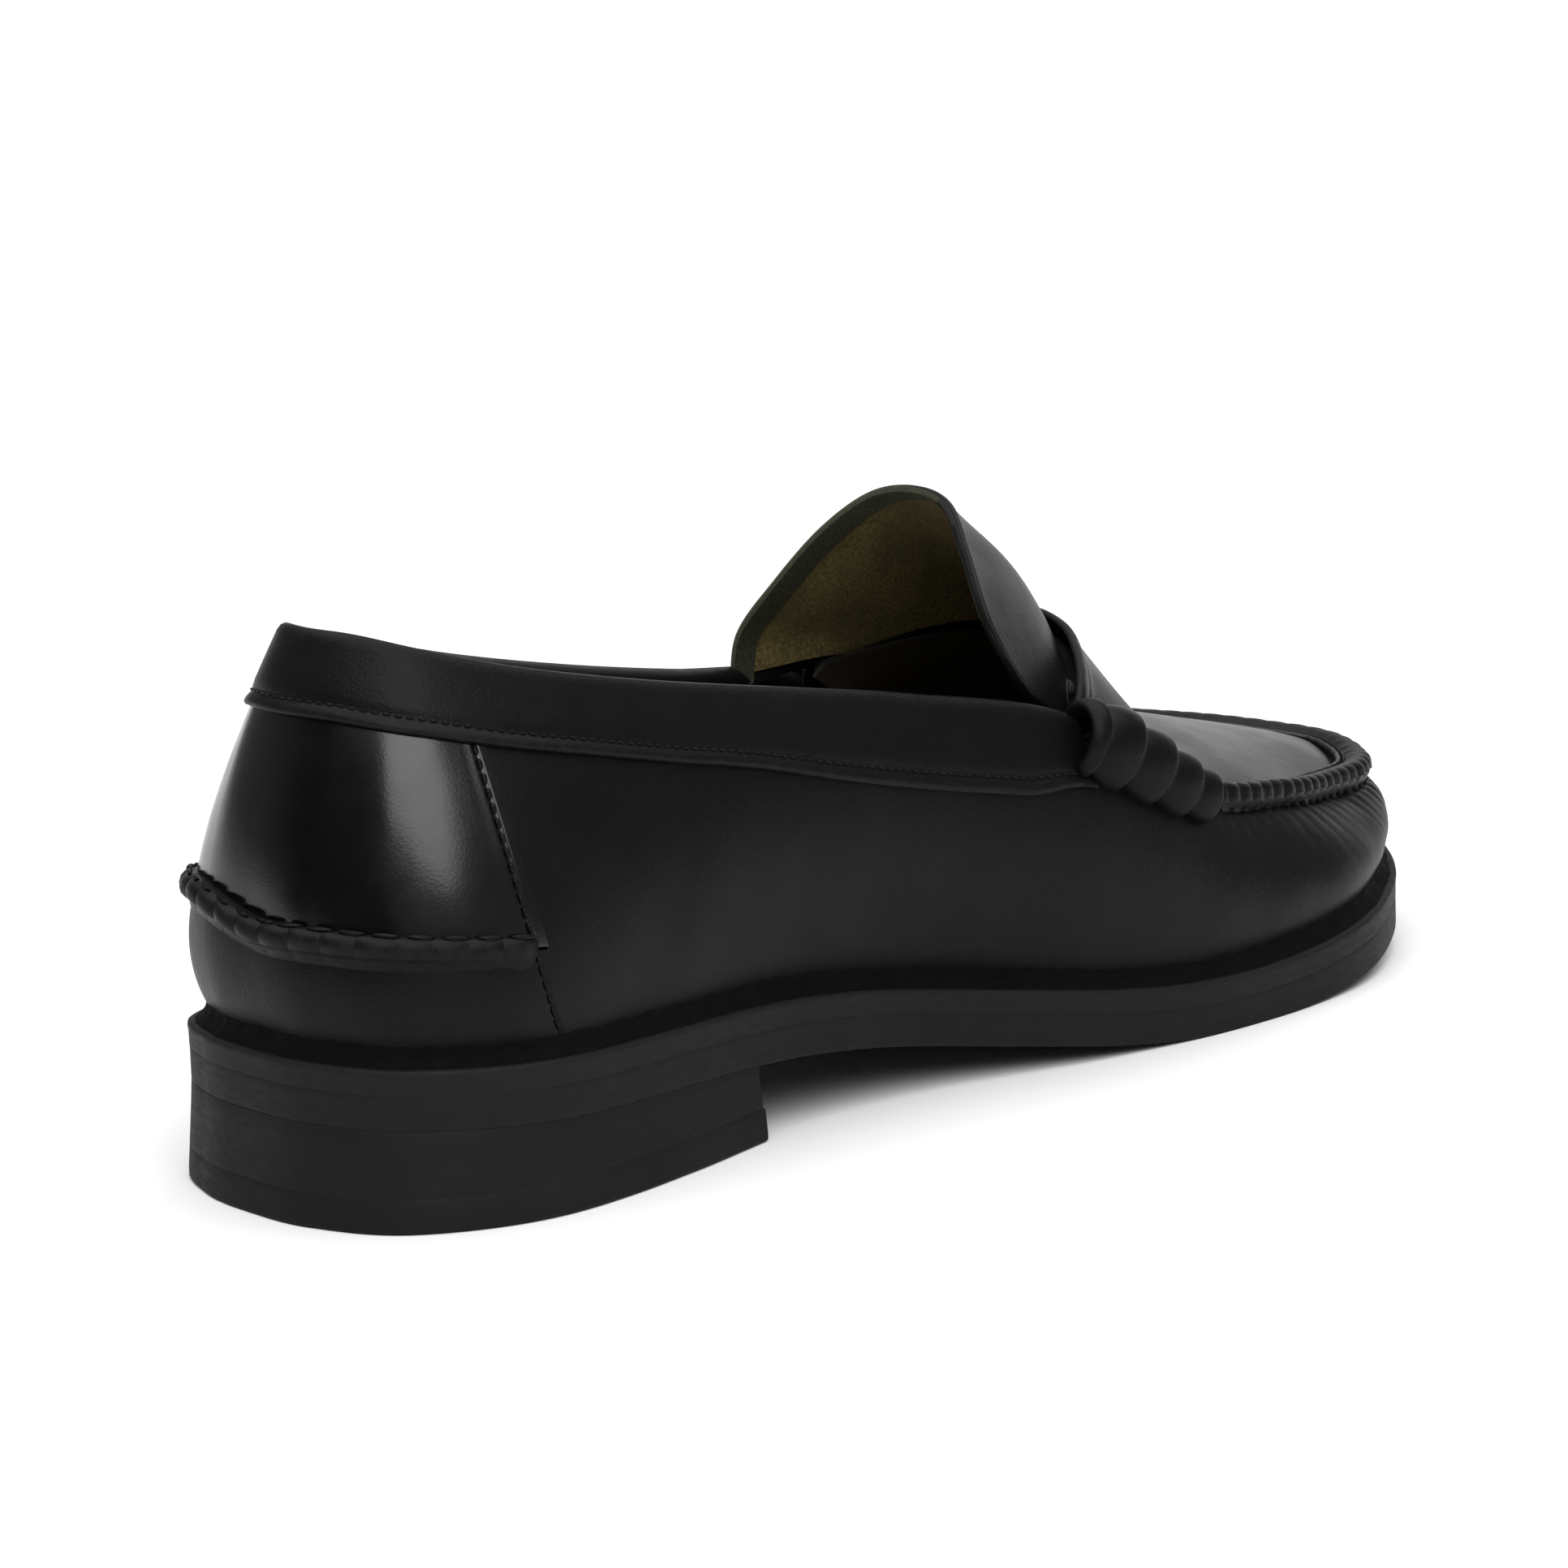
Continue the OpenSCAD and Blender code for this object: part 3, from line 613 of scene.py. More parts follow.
def board_look(name, light, dark, size, depth):
    """Cork, fibre board or foam: grains of two shades with a rough surface."""
    look, tree, shader = new_look(name)
    where = place(tree)
    cells = add(tree, "ShaderNodeTexVoronoi", {"Vector": where, "Scale": 1 / (size * MM)})
    grains = ramp(tree, cells.outputs["Distance"], 0, 0.8)
    speck = times(tree, grains, ramp(tree, noise(tree, where, size * 0.6), 0.3, 0.7))
    connect(tree, shader, {"Base Color": blend_colours(tree, speck, dark, light),
                           "Roughness": ramp(tree, speck, 0, 1, 0.95, 0.8)})
    bump(tree, shader, speck, depth)
    return look


LOOKS = {
    "vamp": leather_look("vamp_leather", (0.0032, 0.0035, 0.0034), (0.0044, 0.0043, 0.0038),
                         0.40, 0.12, 1.0),
    "apron": leather_look("apron_leather", (0.0038, 0.0040, 0.0041), (0.0048, 0.0047, 0.0045),
                          0.33, 0.42, 0.8),
    "counter": leather_look("counter_leather", (0.0026, 0.0028, 0.0031), (0.0034, 0.0033, 0.0033),
                            0.20, 0.45, 0.15),
    "strap": leather_look("strap_leather", (0.0030, 0.0033, 0.0032), (0.0040, 0.0039, 0.0035),
                          0.38, 0.12, 1.0),
    "tongue": leather_look("tongue_leather", (0.0038, 0.0042, 0.0040), (0.0050, 0.0050, 0.0045),
                           0.38, 0.20, 1.0),
    "tongue_edge": suede_look("tongue_edge_leather", (0.058, 0.066, 0.044), (0.034, 0.041, 0.026),
                              (0.012, 0.015, 0.009)),
    "lining": suede_look("lining_leather", (0.240, 0.180, 0.062), (0.130, 0.100, 0.034),
                         (0.040, 0.032, 0.012)),
    # Painted shade: a copy of the lining leather made far darker, for the toe's lining deep under
    # the strap where shade falls.
    "painted_shade_lining": suede_look("painted_shade_lining_leather", (0.014, 0.011, 0.005), (0.009, 0.007, 0.003),
                              (0.004, 0.003, 0.002)),
    "sock": leather_look("sock_leather", (0.030, 0.024, 0.011), (0.045, 0.035, 0.016),
                         0.5, 0.2, 1.6),
    "rubber": rubber_look("sole_rubber", (0.0066, 0.0069, 0.0069), 0.60),
    "midsole": rubber_look("midsole_rubber", (0.0070, 0.0073, 0.0073), 0.58),
    "top_piece": rubber_look("top_piece_rubber", (0.0065, 0.0068, 0.0068), 0.62, 1.5),
    # Near-black rand: partly the strip's own black, partly painted shade of the recess between sole
    # and upper; also the colour of the painted shade sheet under the strap.
    "rand": rubber_look("rand_strip", (0.0006, 0.0006, 0.0007), 0.92, 2.0),
    "thread": thread_look("waxed_thread", (0.0012, 0.0012, 0.0014)),
    "steel": metal_look("steel", (0.45, 0.45, 0.46)),
    "cork": board_look("cork", (0.36, 0.20, 0.09), (0.12, 0.06, 0.03), 1.6, 0.3),
    "fibre": board_look("fibre_board", (0.38, 0.28, 0.15), (0.22, 0.15, 0.08), 0.7, 0.08),
    "stiffener": board_look("stiffener_board", (0.55, 0.50, 0.42), (0.38, 0.33, 0.26), 0.9, 0.08),
    "foam": board_look("heel_foam", (0.55, 0.48, 0.25), (0.40, 0.34, 0.16), 0.5, 0.1),
}


# ---- Bottom unit ----

BACK_TO_TOE = np.linspace(0, TOE, 289)
# Columns across each flat face of the bottom unit, between its two sides.
ACROSS = 15


def cross_rings(profile, low, high, outer_t, inner_t, flare=0.0):
    """Closed rings across the shoe. Rows of profile are inset and share of the height, from
    the underside's edge to the top face's edge. The sides spread by flare at the ground."""
    inset, share = np.asarray(profile, float).T

    def side(t):
        x = station(t)[:, :1]
        spread = flare * (0.65 - 0.35 * outward(t)[:, 1:2]) * (1 - 0.7 * smooth_step((x - 45) / 45))
        rise = mix(low(x), high(x), share)
        xy = edge(t[:, None], inset - spread * (1 - rise / tread_face(x)) if flare else inset)
        x = xy[..., 0]
        return xyz(x, xy[..., 1], mix(low(x), high(x), share))

    w = np.linspace(0, 1, ACROSS + 2)[1:-1, None]

    def face(a, b, height):
        flat = mix(a[:, None], b[:, None], w)
        return xyz(flat[..., 0], flat[..., 1], height(flat[..., 0]))

    one, two = side(outer_t), side(inner_t)
    top = face(one[:, -1], two[:, -1], high)
    under = face(two[:, 0], one[:, 0], low)
    return np.concatenate([one, top, two[:, ::-1], under], 1), one, two


def sole_piece(name, profile, low, high, look, worn=None, **how):
    """A layer from heel to toe, with the wear of each row of its profile."""
    rings, one, _ = cross_rings(profile, low, high, BACK_TO_TOE, STATIONS - BACK_TO_TOE)
    wear = np.zeros(rings.shape[:2])
    if worn is not None:
        sides = one.shape[1]
        wear[:, :sides] = worn
        wear[:, -sides - ACROSS:-ACROSS] = worn[::-1]
    return mesh_piece(name, *loft(rings, caps=False), look, wear=wear.reshape(-1), merge=0.02,
                      **how)


# Inset and share of height of the edges of the midsole and the outsole, from below.
MIDSOLE_EDGE = [[0.07, 0], [0.02, 0.02], [0, 0.06], [0, 0.35], [-0.05, 0.6], [-0.15, 0.8],
                [-0.05, 0.93], [0.4, 1], [1.6, 1]]
MIDSOLE_WEAR = np.array([0, 0, 0, 0, 0, 0.2, 0.6, 0.3, 0])
OUTSOLE_EDGE = [[0.16, 0], [0.09, 0.02], [0.06, 0.06], [0.05, 0.2], [0.05, 0.5], [0.05, 0.8],
                [0.05, 0.99], [0.08, 1]]
OUTSOLE_WEAR = np.array([0.5, 0.9, 0.7, 0.1, 0, 0, 0, 0])


def build_sole():
    sole_piece("midsole_edge_trimmed", MIDSOLE_EDGE, midsole_face, sole_top, LOOKS["midsole"],
               MIDSOLE_WEAR, node="midsole", slot="midsole_rubber")
    sole_piece("outsole_moulded", OUTSOLE_EDGE, tread_face, midsole_face, LOOKS["rubber"],
               OUTSOLE_WEAR, node="outsole", slot="sole_rubber")


BREAST_HOLLOW = 1.6
HEEL_HALF_WIDTH = 37.0


def breast_station(inner):
    """Station at which the sole's edge passes the heel's front face."""
    t = np.linspace(4, 5, 401)
    t = STATIONS - t if inner else t
    return t[np.argmin(np.abs(edge(t, 0.4)[:, 0] - HEEL_LENGTH))]


def heel_piece(name, profile, low, high, reach, look, slot):
    """A level of the heel with a hollowed front face that stands reach in front."""
    share = np.linspace(0, 1, 150) ** 0.85
    outer_t = share * breast_station(False)
    inner_t = STATIONS - share * (STATIONS - breast_station(True))
    rings, one, two = cross_rings(profile, low, high, outer_t, inner_t, flare=HEEL_FLARE)
    points, faces = loft(rings, caps=False)
    w = np.linspace(0, 1, 17)[:, None, None]
    front = mix(one[-1][None], two[-1][None], w)
    columns, levels = front.shape[:2]
    start = len(points)
    ids = start + np.arange(columns * levels).reshape(columns, levels)
    cells = np.stack([ids[:-1, :-1], ids[1:, :-1], ids[1:, 1:], ids[:-1, 1:]], -1).reshape(-1, 4)
    points = np.concatenate([points, front.reshape(-1, 3)])
    near = smooth_step((points[:, 0] - HEEL_LENGTH + 24) / 24)
    hollow = BREAST_HOLLOW * (1 - np.clip(points[:, 1] / HEEL_HALF_WIDTH, -1, 1) ** 2)
    points[:, 0] += near * (reach - hollow)
    return mesh_piece(name, points, np.concatenate([faces, cells]), look, node=name, slot=slot,
                      merge=0.05, sharp=35)


HEEL_BLOCK_EDGE = [[0.1, 0], [0.07, 0.01], [0.06, 0.08], [0.08, 0.3], [0.09, 0.5], [0.08, 0.75],
                   [0.05, 0.99], [0.09, 1]]
TOP_PIECE_EDGE = [[1.2, 0], [0.5, 0.03], [0.15, 0.1], [0.06, 0.3], [0.06, 0.7], [0.07, 0.98],
                  [0.14, 1]]


def build_heel():
    def level(z):
        return lambda x: np.full_like(x, z)

    heel_piece("heel_block", HEEL_BLOCK_EDGE, level(TOP_PIECE), tread_face, 0.0, LOOKS["rubber"],
               "sole_rubber")
    heel_piece("heel_top_piece", TOP_PIECE_EDGE, level(0.0), level(TOP_PIECE), 0.5,
               LOOKS["top_piece"], "top_piece_rubber")


def build_rand():
    """The black strip recessed between the sole and the upper, slightly uneven; its near-black
    colour is partly the rand's own black and partly painted shade of the recess.
    """
    t = np.linspace(0, STATIONS, 721)[:-1]
    section = np.array([[1.0, -0.1], [1.7, 0.6], [2.6, 1.4], [3.1, 2.2], [3.3, 3.4],
                        [4.6, 3.9], [7.2, 1.5], [7.0, -0.2]])
    drift = 0.12 * np.sin(t * 9.1) + 0.08 * np.sin(t * 23.7 + 1)
    inset = section[:, 0] + drift[:, None]
    xy = edge(t[:, None], inset)
    z = sole_top(xy[..., 0]) + section[:, 1]
    mesh_piece("rand_strip", *loft(xyz(xy[..., 0], xy[..., 1], z), closed=True), LOOKS["rand"],
               node="rand", slot="rand_strip")


PAD_END = 4.5


def build_footbed():
    """Heel pad and sock lining, which follow the insole board."""
    def board(x):
        return sole_top(x) + BOARD

    def pad(x):
        return board(x) + 0.05 + PAD * (1 - smooth_step((x - 64) / 24))

    def sock(x):
        return pad(x) + SOCK

    profile = np.array([[2.5, 0], [0.9, 0.08], [0.2, 0.3], [0, 0.55], [0.5, 0.8], [1.8, 0.96],
                        [4, 1]])
    profile[:, 0] += BOARD_INSET + 4
    t = np.linspace(0, 1, 90) * PAD_END
    rings, _, _ = cross_rings(profile, lambda x: board(x) + 0.02, lambda x: pad(x) - 0.02, t,
                              STATIONS - t)
    foam = mesh_piece("heel_pad_foam", *loft(rings), LOOKS["foam"], node="heel_pad",
                      slot="heel_foam", merge=0.02)
    profile = np.array([[0.3, 0], [0, 0.3], [0, 0.7], [0.3, 1], [1.5, 1]])
    profile[:, 0] += BOARD_INSET + 0.4
    sole_piece("sock_lining_leather", profile, pad, sock, LOOKS["sock"], node="sock_lining",
               slot="lining_leather")


# ---- Upper ----

PINCH = 4.0
RIDGE_END = STATIONS - RIDGE_START
STITCH_DROP = 2.2
RIB = 1.2
RIM_T = np.linspace(RIDGE_START, RIDGE_END, 1601)
RIM_LENGTH = arc_length(skin(RIM_T, 1.0))
PINCHES = round(RIM_LENGTH[-1] / PINCH)


def pinch_phase(t):
    """Number of pinches from the ridge's start to station t."""
    return np.interp(t, RIM_T, RIM_LENGTH) / RIM_LENGTH[-1] * PINCHES


def ridge_share(t):
    """1 along the pinched ridge, falling to 0 at its two ends."""
    return smooth_step(np.minimum(t - RIDGE_START, RIDGE_END - t) / 0.25)


def ridge_rise(t):
    """Height of the ridge over the wall's edge, lower on the inner side of the toe."""
    return RIDGE * mix(1.0, 0.8, smooth_step((t - 11.7) / 1.0))


def ribs(t):
    """Rounded ribs between the pinches, from 0 in a pinch to 1 on a rib."""
    phase = pinch_phase(t)
    k = np.floor(phase)
    return np.abs(np.sin(np.pi * phase)) ** 0.55 * mix(0.7, 1.0, chance(k))


def gathers(t, h):
    """Depth of the creases that run down the wall, h below the top edge."""
    phase = pinch_phase(t)
    lean = 0.03 * np.sin(phase * 0.37) * (h - STITCH_DROP)
    k = np.floor(phase + 0.5 + lean)
    groove = np.abs(np.cos(np.pi * (phase + lean))) ** 4
    length = mix(2.2, 4.8, chance(k + 31) ** 1.5)
    strong = mix(0.35, 1.0, smooth_step((t - 8.4) / 1.4) * smooth_step((15.8 - t) / 1.6))
    fade = np.exp(-np.maximum(h - STITCH_DROP, 0) / length) * (h > STITCH_DROP - 0.3)
    wave = 0.12 * np.sin(phase * 1.9) * np.exp(-np.maximum(h - STITCH_DROP, 0) / 9)
    return (0.62 * groove * mix(0.4, 1.0, chance(k + 7)) + wave) * fade * strong


def soft_waves(t, v):
    """Slow unevenness of lasted leather."""
    return 0.09 * np.sin(5.1 * t + 3.3 * v) * np.sin(7.3 * v + 1.7 * t) \
        + 0.03 * np.sin(11.7 * t - 6.1 * v + 2)


def vamp_columns():
    """Stations of the wall's columns at its foot, close together along the ridge."""
    side = np.linspace(SEAM_LOW + 0.03, RIDGE_START, 90)
    middle = np.linspace(RIDGE_START, RIDGE_END, 1 + 9 * PINCHES)[1:-1]
    return np.concatenate([side, middle, STATIONS - side[::-1]])


def build_vamp():
    """One-piece wall round the toe, with its gathers and the ribbed outside of the ridge."""
    foot = vamp_columns()[:, None]
    v = 1 - (1 - np.linspace(0, 1, 42)) ** 1.45
    reach = np.clip((RIDGE_START - foot) / (RIDGE_START - SEAM_LOW), 0, 1) \
        - np.clip((foot - RIDGE_END) / (RIDGE_START - SEAM_LOW), 0, 1)
    t = foot + reach * (side_seam(v) - SEAM_LOW)
    height = np.linalg.norm(skin(t, 1.0) - skin(t, 0.0), axis=-1) / STRAIGHT_TO_CURVE
    h = (1 - v) * height
    on_ridge = ridge_share(t)
    low = np.exp(-((h - STITCH_DROP) / 0.6) ** 2) * 0.45
    rib = (0.25 + RIB * ribs(t)) * smooth_step((STITCH_DROP - h) / 1.2 + 0.1)
    depth = on_ridge * (gathers(t, h) + low - rib) + soft_waves(t, v) * smooth_step(v / 0.15) \
        * (1 - smooth_step((v - 0.9) / 0.1))
    # Above the stitches the leather stands upright, so the ridge has one flat ribbed face.
    foot_of_ridge = skin(t, below_top(t, STITCH_DROP))
    upright = np.sum((foot_of_ridge - skin(t, v)) * outward(t), -1)
    upright = upright * on_ridge * smooth_step((STITCH_DROP - h) / 0.9 + 0.2)
    outer = wall(t, v, depth) + outward(t) * upright[..., None]
    inner = wall(t, v, LEATHER)

    turn = np.linspace(0, 1, 15)[1:]
    tip = t[:, -1:]
    on_ridge = ridge_share(tip)
    up = np.minimum(turn / 0.55, 1) * ridge_rise(tip) - 0.9 * np.maximum(turn - 0.7, 0) / 0.3
    up = up + 0.35 * np.sin(np.pi * np.clip((turn - 0.35) / 0.5, 0, 1))
    over = 2.2 * smooth_step((turn - 0.4) / 0.6)
    bulge = (0.25 + RIB * ribs(tip)) * (1 - 0.6 * turn) - over
    bulge = bulge + upright[:, -1:] * (1 - smooth_step((turn - 0.3) / 0.7))
    rise = skin(tip, 1.0) + xyz(0, 0, on_ridge * up)
    out = outward(tip)
    outer = np.concatenate([outer, rise + out * (bulge * on_ridge)[..., None]], 1)
    below = rise - out * (on_ridge * (over * 0.4) + LEATHER * 0.8)[..., None]
    inner = np.concatenate([inner, below - xyz(0, 0, on_ridge * 0.9 * turn)], 1)
    thin_piece("vamp_wall_leather", outer, inner, LOOKS["vamp"], node="vamp_wall",
               slot="polished_leather")


APRON_START = 8.3
APRON_INSET = LEATHER + 0.5
APRON_CROWN = np.array([[8.3, 6.8], [9, 6.7], [10, 5.4], [11, 3.4], [11.84, 1.2], [12, 0.3]])
APRON_FORWARD = np.array([[8.3, 8], [9, 3], [10, 1], [11, 0]])
UNDER_STRAP = 0.5


def apron_rim(t, inset=0.0):
    return skin(t, 1.0) - outward(t) * (APRON_INSET + inset)


def apron_row(t, w):
    arch = np.sin(np.pi * w) ** 0.8
    forward = np.interp(t, *APRON_FORWARD.T)
    crown = np.interp(t, *APRON_CROWN.T)
    near, far = apron_rim(t, 0.7), apron_rim(STATIONS - t, 0.7)
    crease = 0.12 * np.sin(w * 21 + t * 2) * np.exp(-(t - APRON_START) * 2.2)
    return mix(near, far, w[..., None]) + xyz(forward * arch, 0, crown * arch + crease)


def tucked_depth(u):
    """How deep the toe's lining lies below the strap, deeper towards the strap's rear edge."""
    return mix(LEATHER * 2 + 4 * GAP, 6.3, smooth_step((u - 0.3) / 0.5))


def build_apron():
    """Smooth plug of the toe, whose edge turns up inside the pinched ridge."""
    t = APRON_START + (TOE - APRON_START) * np.linspace(0, 1, 150)
    w = np.linspace(0, 1, 91)
    flat = apron_row(t[:, None], w[None, :])

    def turned(sign_t):
        """Columns from the ridge's top down its inner side to the apron's edge."""
        k = np.linspace(0, 1, 9)[:-1]
        tt = sign_t[:, None]
        up = ridge_share(tt) * (ridge_rise(tt) - 0.5) * (1 - k) ** 0.9
        fold = 0.7 * k ** 3 + ribs(tt) * 0.18 * (1 - k)
        return skin(tt, 1.0) - outward(tt) * (APRON_INSET + fold)[..., None] + xyz(0, 0, up)

    outer = np.concatenate([turned(t), flat, turned(STATIONS - t)[:, ::-1]], 1)
    inner = outer - xyz(0, 0, LEATHER)
    sides = np.arange(8)
    inner[:, sides] = outer[:, sides] - outward(t)[:, None] - xyz(0, 0, 0.3)
    inner[:, -1 - sides] = outer[:, -1 - sides] - outward(STATIONS - t)[:, None] - xyz(0, 0, 0.3)

    u = np.linspace(UNDER_STRAP, 0.03, 16)[:, None]
    columns = outer.shape[1]
    ww = np.linspace(0.06, 0.94, columns)[None, :]
    tucked = saddle(u, ww, LEATHER + 2 * GAP)
    under = saddle(u, ww, 2 * LEATHER + 2 * GAP)
    thin_piece("apron_leather", np.concatenate([tucked, outer]), np.concatenate([under, inner]),
               LOOKS["apron"], node="apron", slot="polished_leather")

    # The toe's lining wears the painted shade copy of the lining leather, darkened to stand for the
    # shade inside the toe.
    rows = np.linspace(APRON_START, 11.2, 40)[:, None]
    cols = np.linspace(0.1, 0.9, 60)[None, :]
    lining = apron_row(rows, cols) - xyz(0, 0, LEATHER + 2 * GAP)
    u = np.linspace(1.0, 0.03, 30)[:, None]
    ww = np.linspace(0.04, 0.96, 60)[None, :]
    depth = tucked_depth(u)
    upper = np.concatenate([saddle(u, ww, depth), lining])
    lower = np.concatenate([saddle(u, ww, depth + LINING), lining - xyz(0, 0, LINING)])
    thin_piece("apron_lining_leather", upper, lower, LOOKS["painted_shade_lining"], node="apron_lining",
               slot="lining_leather")

    # A matt black strip closes the hollow between the strap and the tucked lining: a painted shade
    # sheet, put there so the gap under the strap reads as dark shade.
    u = np.linspace(0.78, 0.87, 5)[None, :]
    ww = np.linspace(0.05, 0.95, 90)[:, None]
    thin_piece("painted_shade_strap_backing", saddle(u, ww, LEATHER + 2 * GAP),
               saddle(u, ww, tucked_depth(u) - GAP), LOOKS["rand"], slot="lining_leather")


# How far the heel panels lap over the vamp wall, in stations, and how high they lie there.
LAP_REACH = 0.045
LAP = 0.12
STATION_SPAN = 32.0
SEAM_STITCH_IN = 3.0


def roll_height(t):
    """Share of the wall's height at which the roll seam lies, higher on the inner back."""
    return ROLL_SEAM_AT + 0.06 * smooth_step((0.5 - t) / 1.7) * smooth_step((t + 3.0) / 1.2)


def panel_grid(upper, columns, rows):
    """Stations and shares of height over the heel, above or below the roll seam."""
    s = np.linspace(-1, 1, columns)[:, None]
    s = np.sign(s) * (1 - (1 - np.abs(s)) ** 1.3)
    seam = roll_height(s * side_seam(ROLL_SEAM_AT))
    k = np.linspace(0, 1, rows)[None, :]
    v = mix(seam + 0.005, 1.0, k) if upper else mix(0.0, seam - 0.005, k)
    return s * (side_seam(v) + LAP_REACH), v, s


def from_panel_edge(t, v):
    """Distance from the panel's front edge, in millimetres."""
    return (side_seam(v) + LAP_REACH - np.abs(t)) * STATION_SPAN


def panel_lap(t, v):
    """1 where a heel panel lies on the vamp wall, 0 where it lies beside it."""
    return 1 - smooth_step((from_panel_edge(t, v) - 2.2) / 4.5)


def seam_groove(t, v):
    """Groove drawn into the panel by its seam."""
    return 0.45 * np.exp(-((from_panel_edge(t, v) - SEAM_STITCH_IN) / 0.55) ** 2)


def build_heel_panels():
    """Glossy counter panel and the rounder panel under it."""
    t, v, s = panel_grid(True, 420, 60)
    calm = 1 - smooth_step((np.abs(s) - 0.8) / 0.1)
    dimple = 0.08 * np.sin(2.3 * t + 4 * v) * np.sin(6 * v) * calm
    lap = panel_lap(t, v)
    thin_piece("heel_counter_leather", wall(t, v, dimple - LAP * lap + seam_groove(t, v)),
               wall(t, v, mix(LEATHER, -0.05, lap)), LOOKS["counter"],
               node="heel_counter_panel", slot="polished_leather")

    t, v, s = panel_grid(False, 420, 26)
    fat = 0.8 * np.sin(np.pi * np.clip(v / roll_height(t), 0, 1)) ** 0.8
    fat = fat * smooth_step((1 - np.abs(s)) / 0.12)
    lap = panel_lap(t, v)
    thin_piece("heel_lower_leather", wall(t, v, -fat - LAP * lap + seam_groove(t, v)),
               wall(t, v, mix(LEATHER, -0.05, lap)), LOOKS["vamp"],
               node="heel_lower_panel", slot="polished_leather")


ROLL_PITCH = 6.0


def roll_line():
    """Stations along the heel's roll seam and how far round each one lies, from -1 to 1."""
    s = np.linspace(-1, 1, 520)
    return s * (side_seam(ROLL_SEAM_AT) - 0.05), s


def roll_reach(s, length):
    """How far the roll stands out: most at the back, drawn in at each stitch."""
    pull = np.abs(np.sin(np.pi * length / ROLL_PITCH)) ** 0.6
    return mix(1.7, 3.7, (1 - s * s) ** 1.3) * mix(0.78, 1.0, pull)


def build_roll_seam():
    """Fold of leather that stands out between the heel's two panels."""
    t, s = roll_line()
    length = arc_length(wall(t, roll_height(t)))
    reach = roll_reach(s, length) * mix(0.55, 1.0, smooth_step((1 - np.abs(s)) / 0.04))
    section = np.array([[0.035, -0.3], [0.036, 0.35], [0.03, 0.75], [0.016, 0.97], [-0.002, 1.02],
                        [-0.016, 0.92], [-0.026, 0.7], [-0.034, 0.42], [-0.046, 0.28],
                        [-0.06, 0.2], [-0.068, -0.05], [-0.05, -0.3]])
    v = roll_height(t)[:, None] + section[:, 0]
    rings = wall(t[:, None], v, -section[:, 1][None, :] * reach[:, None])
    worn = np.broadcast_to([0, 0, 0.2, 0.6, 0.9, 0.6, 0.2, 0, 0, 0.1, 0, 0], rings.shape[:2])
    mesh_piece("heel_roll_leather", *loft(rings), LOOKS["vamp"], node="heel_roll_seam",
               slot="polished_leather", wear=worn.reshape(-1))


def build_linings():
    t = np.linspace(0.4, STATIONS + 0.3, 420)[:, None]
    # The lining stops lower where the apron covers it.
    from_heel = np.minimum(t % STATIONS, STATIONS - t % STATIONS)
    top = mix(0.985, 0.84, smooth_step((from_heel - 7.1) / 0.6))
    v = 0.02 + (top - 0.02) * np.linspace(0, 1, 40)[None, :]
    ripple = 0.12 * np.sin(9 * t + 5 * v) * np.sin(8 * v)
    thin_piece("wall_lining_leather", wall(t, v, LINING_GAP),
               wall(t, v, LINING_GAP + LINING + ripple), LOOKS["lining"], node="wall_lining",
               slot="lining_leather")


BAND_STITCH = 2.2


def collar_share(t):
    """Height of the band as a share of COLLAR, more before the beef rolls and less at them."""
    return 1 + 0.2 * smooth_step((np.abs(t) - 4.2) / 1.8) \
        - 0.27 * smooth_step((np.abs(t) - 6.55) / 0.5)


def build_collar():
    """Folded band that binds the foot opening, with a groove under its stitches."""
    t = np.linspace(-COLLAR_END, COLLAR_END, 640)[:, None]
    inner = LINING_GAP + LINING
    drop = np.array([COLLAR + 0.2, COLLAR + 0.35, COLLAR, COLLAR - 0.5, COLLAR - 1.2,
                     COLLAR - BAND_STITCH + 0.5, COLLAR - BAND_STITCH, COLLAR - BAND_STITCH - 0.5,
                     8.5, 6.5, 4.5, 2.5, 1.2, 0.3, -0.6, -1.15, -1.3, -1.1, -0.4, 0.6, 3.0, 6.0,
                     6.4, 0.8, 0.2])
    out = np.array([0.0, 0.7, 1.25, 1.3, 1.1, 0.85, 0.62, 0.85, 1.0, 1.0, 1.0, 1.0, 1.0, 1.0,
                    0.75, 0.1, -1.2, -2.4, -inner - 0.3, -inner - 0.75, -inner - 0.8,
                    -inner - 0.7, -inner, 0.0, 0.0])
    depth = -(out * BAND + 2 * GAP * (out > 0))
    drop = np.append(drop, drop[-1] + 4.0)
    depth = np.append(depth, -0.1)
    drop = np.where(drop > 1, drop * collar_share(t), drop)
    rings = wall(t, below_top(t, drop), np.broadcast_to(depth, drop.shape))
    worn = np.zeros(rings.shape[:2])
    worn[:, 1:4] = [0.5, 0.9, 0.4]
    worn[:, 13:17] = [0.3, 0.5, 0.5, 0.2]
    mesh_piece("collar_band_leather", *loft(rings), LOOKS["vamp"], node="collar_band",
               slot="polished_leather", wear=worn.reshape(-1))


SLOT = (17.0, 4.0, 2.0)


def slot_cutter():
    """Lens-shaped cutter through the middle of the strap."""
    length, height, point = SLOT
    half = length / 2 + point
    y = np.linspace(-half, half, 25)
    bulge = height / 2 * (1 - (y / half) ** 2) ** 0.7
    outline = np.concatenate([np.stack([bulge, y], -1), np.stack([-bulge, y], -1)[-2:0:-1]])
    middle = saddle_skin(0.5, np.array(0.5))
    back = unit(saddle_skin(0.6, np.array(0.5)) - saddle_skin(0.4, np.array(0.5)))
    out = unit(np.cross(xyz(0, 1, 0), back))
    flat = middle + outline[:, :1] * back + outline[:, 1:] * xyz(0, 1, 0)
    rings = np.stack([flat - out * 6, flat + out * 6])
    return mesh_object("slot_cutter", *loft(rings), merge=0.001)


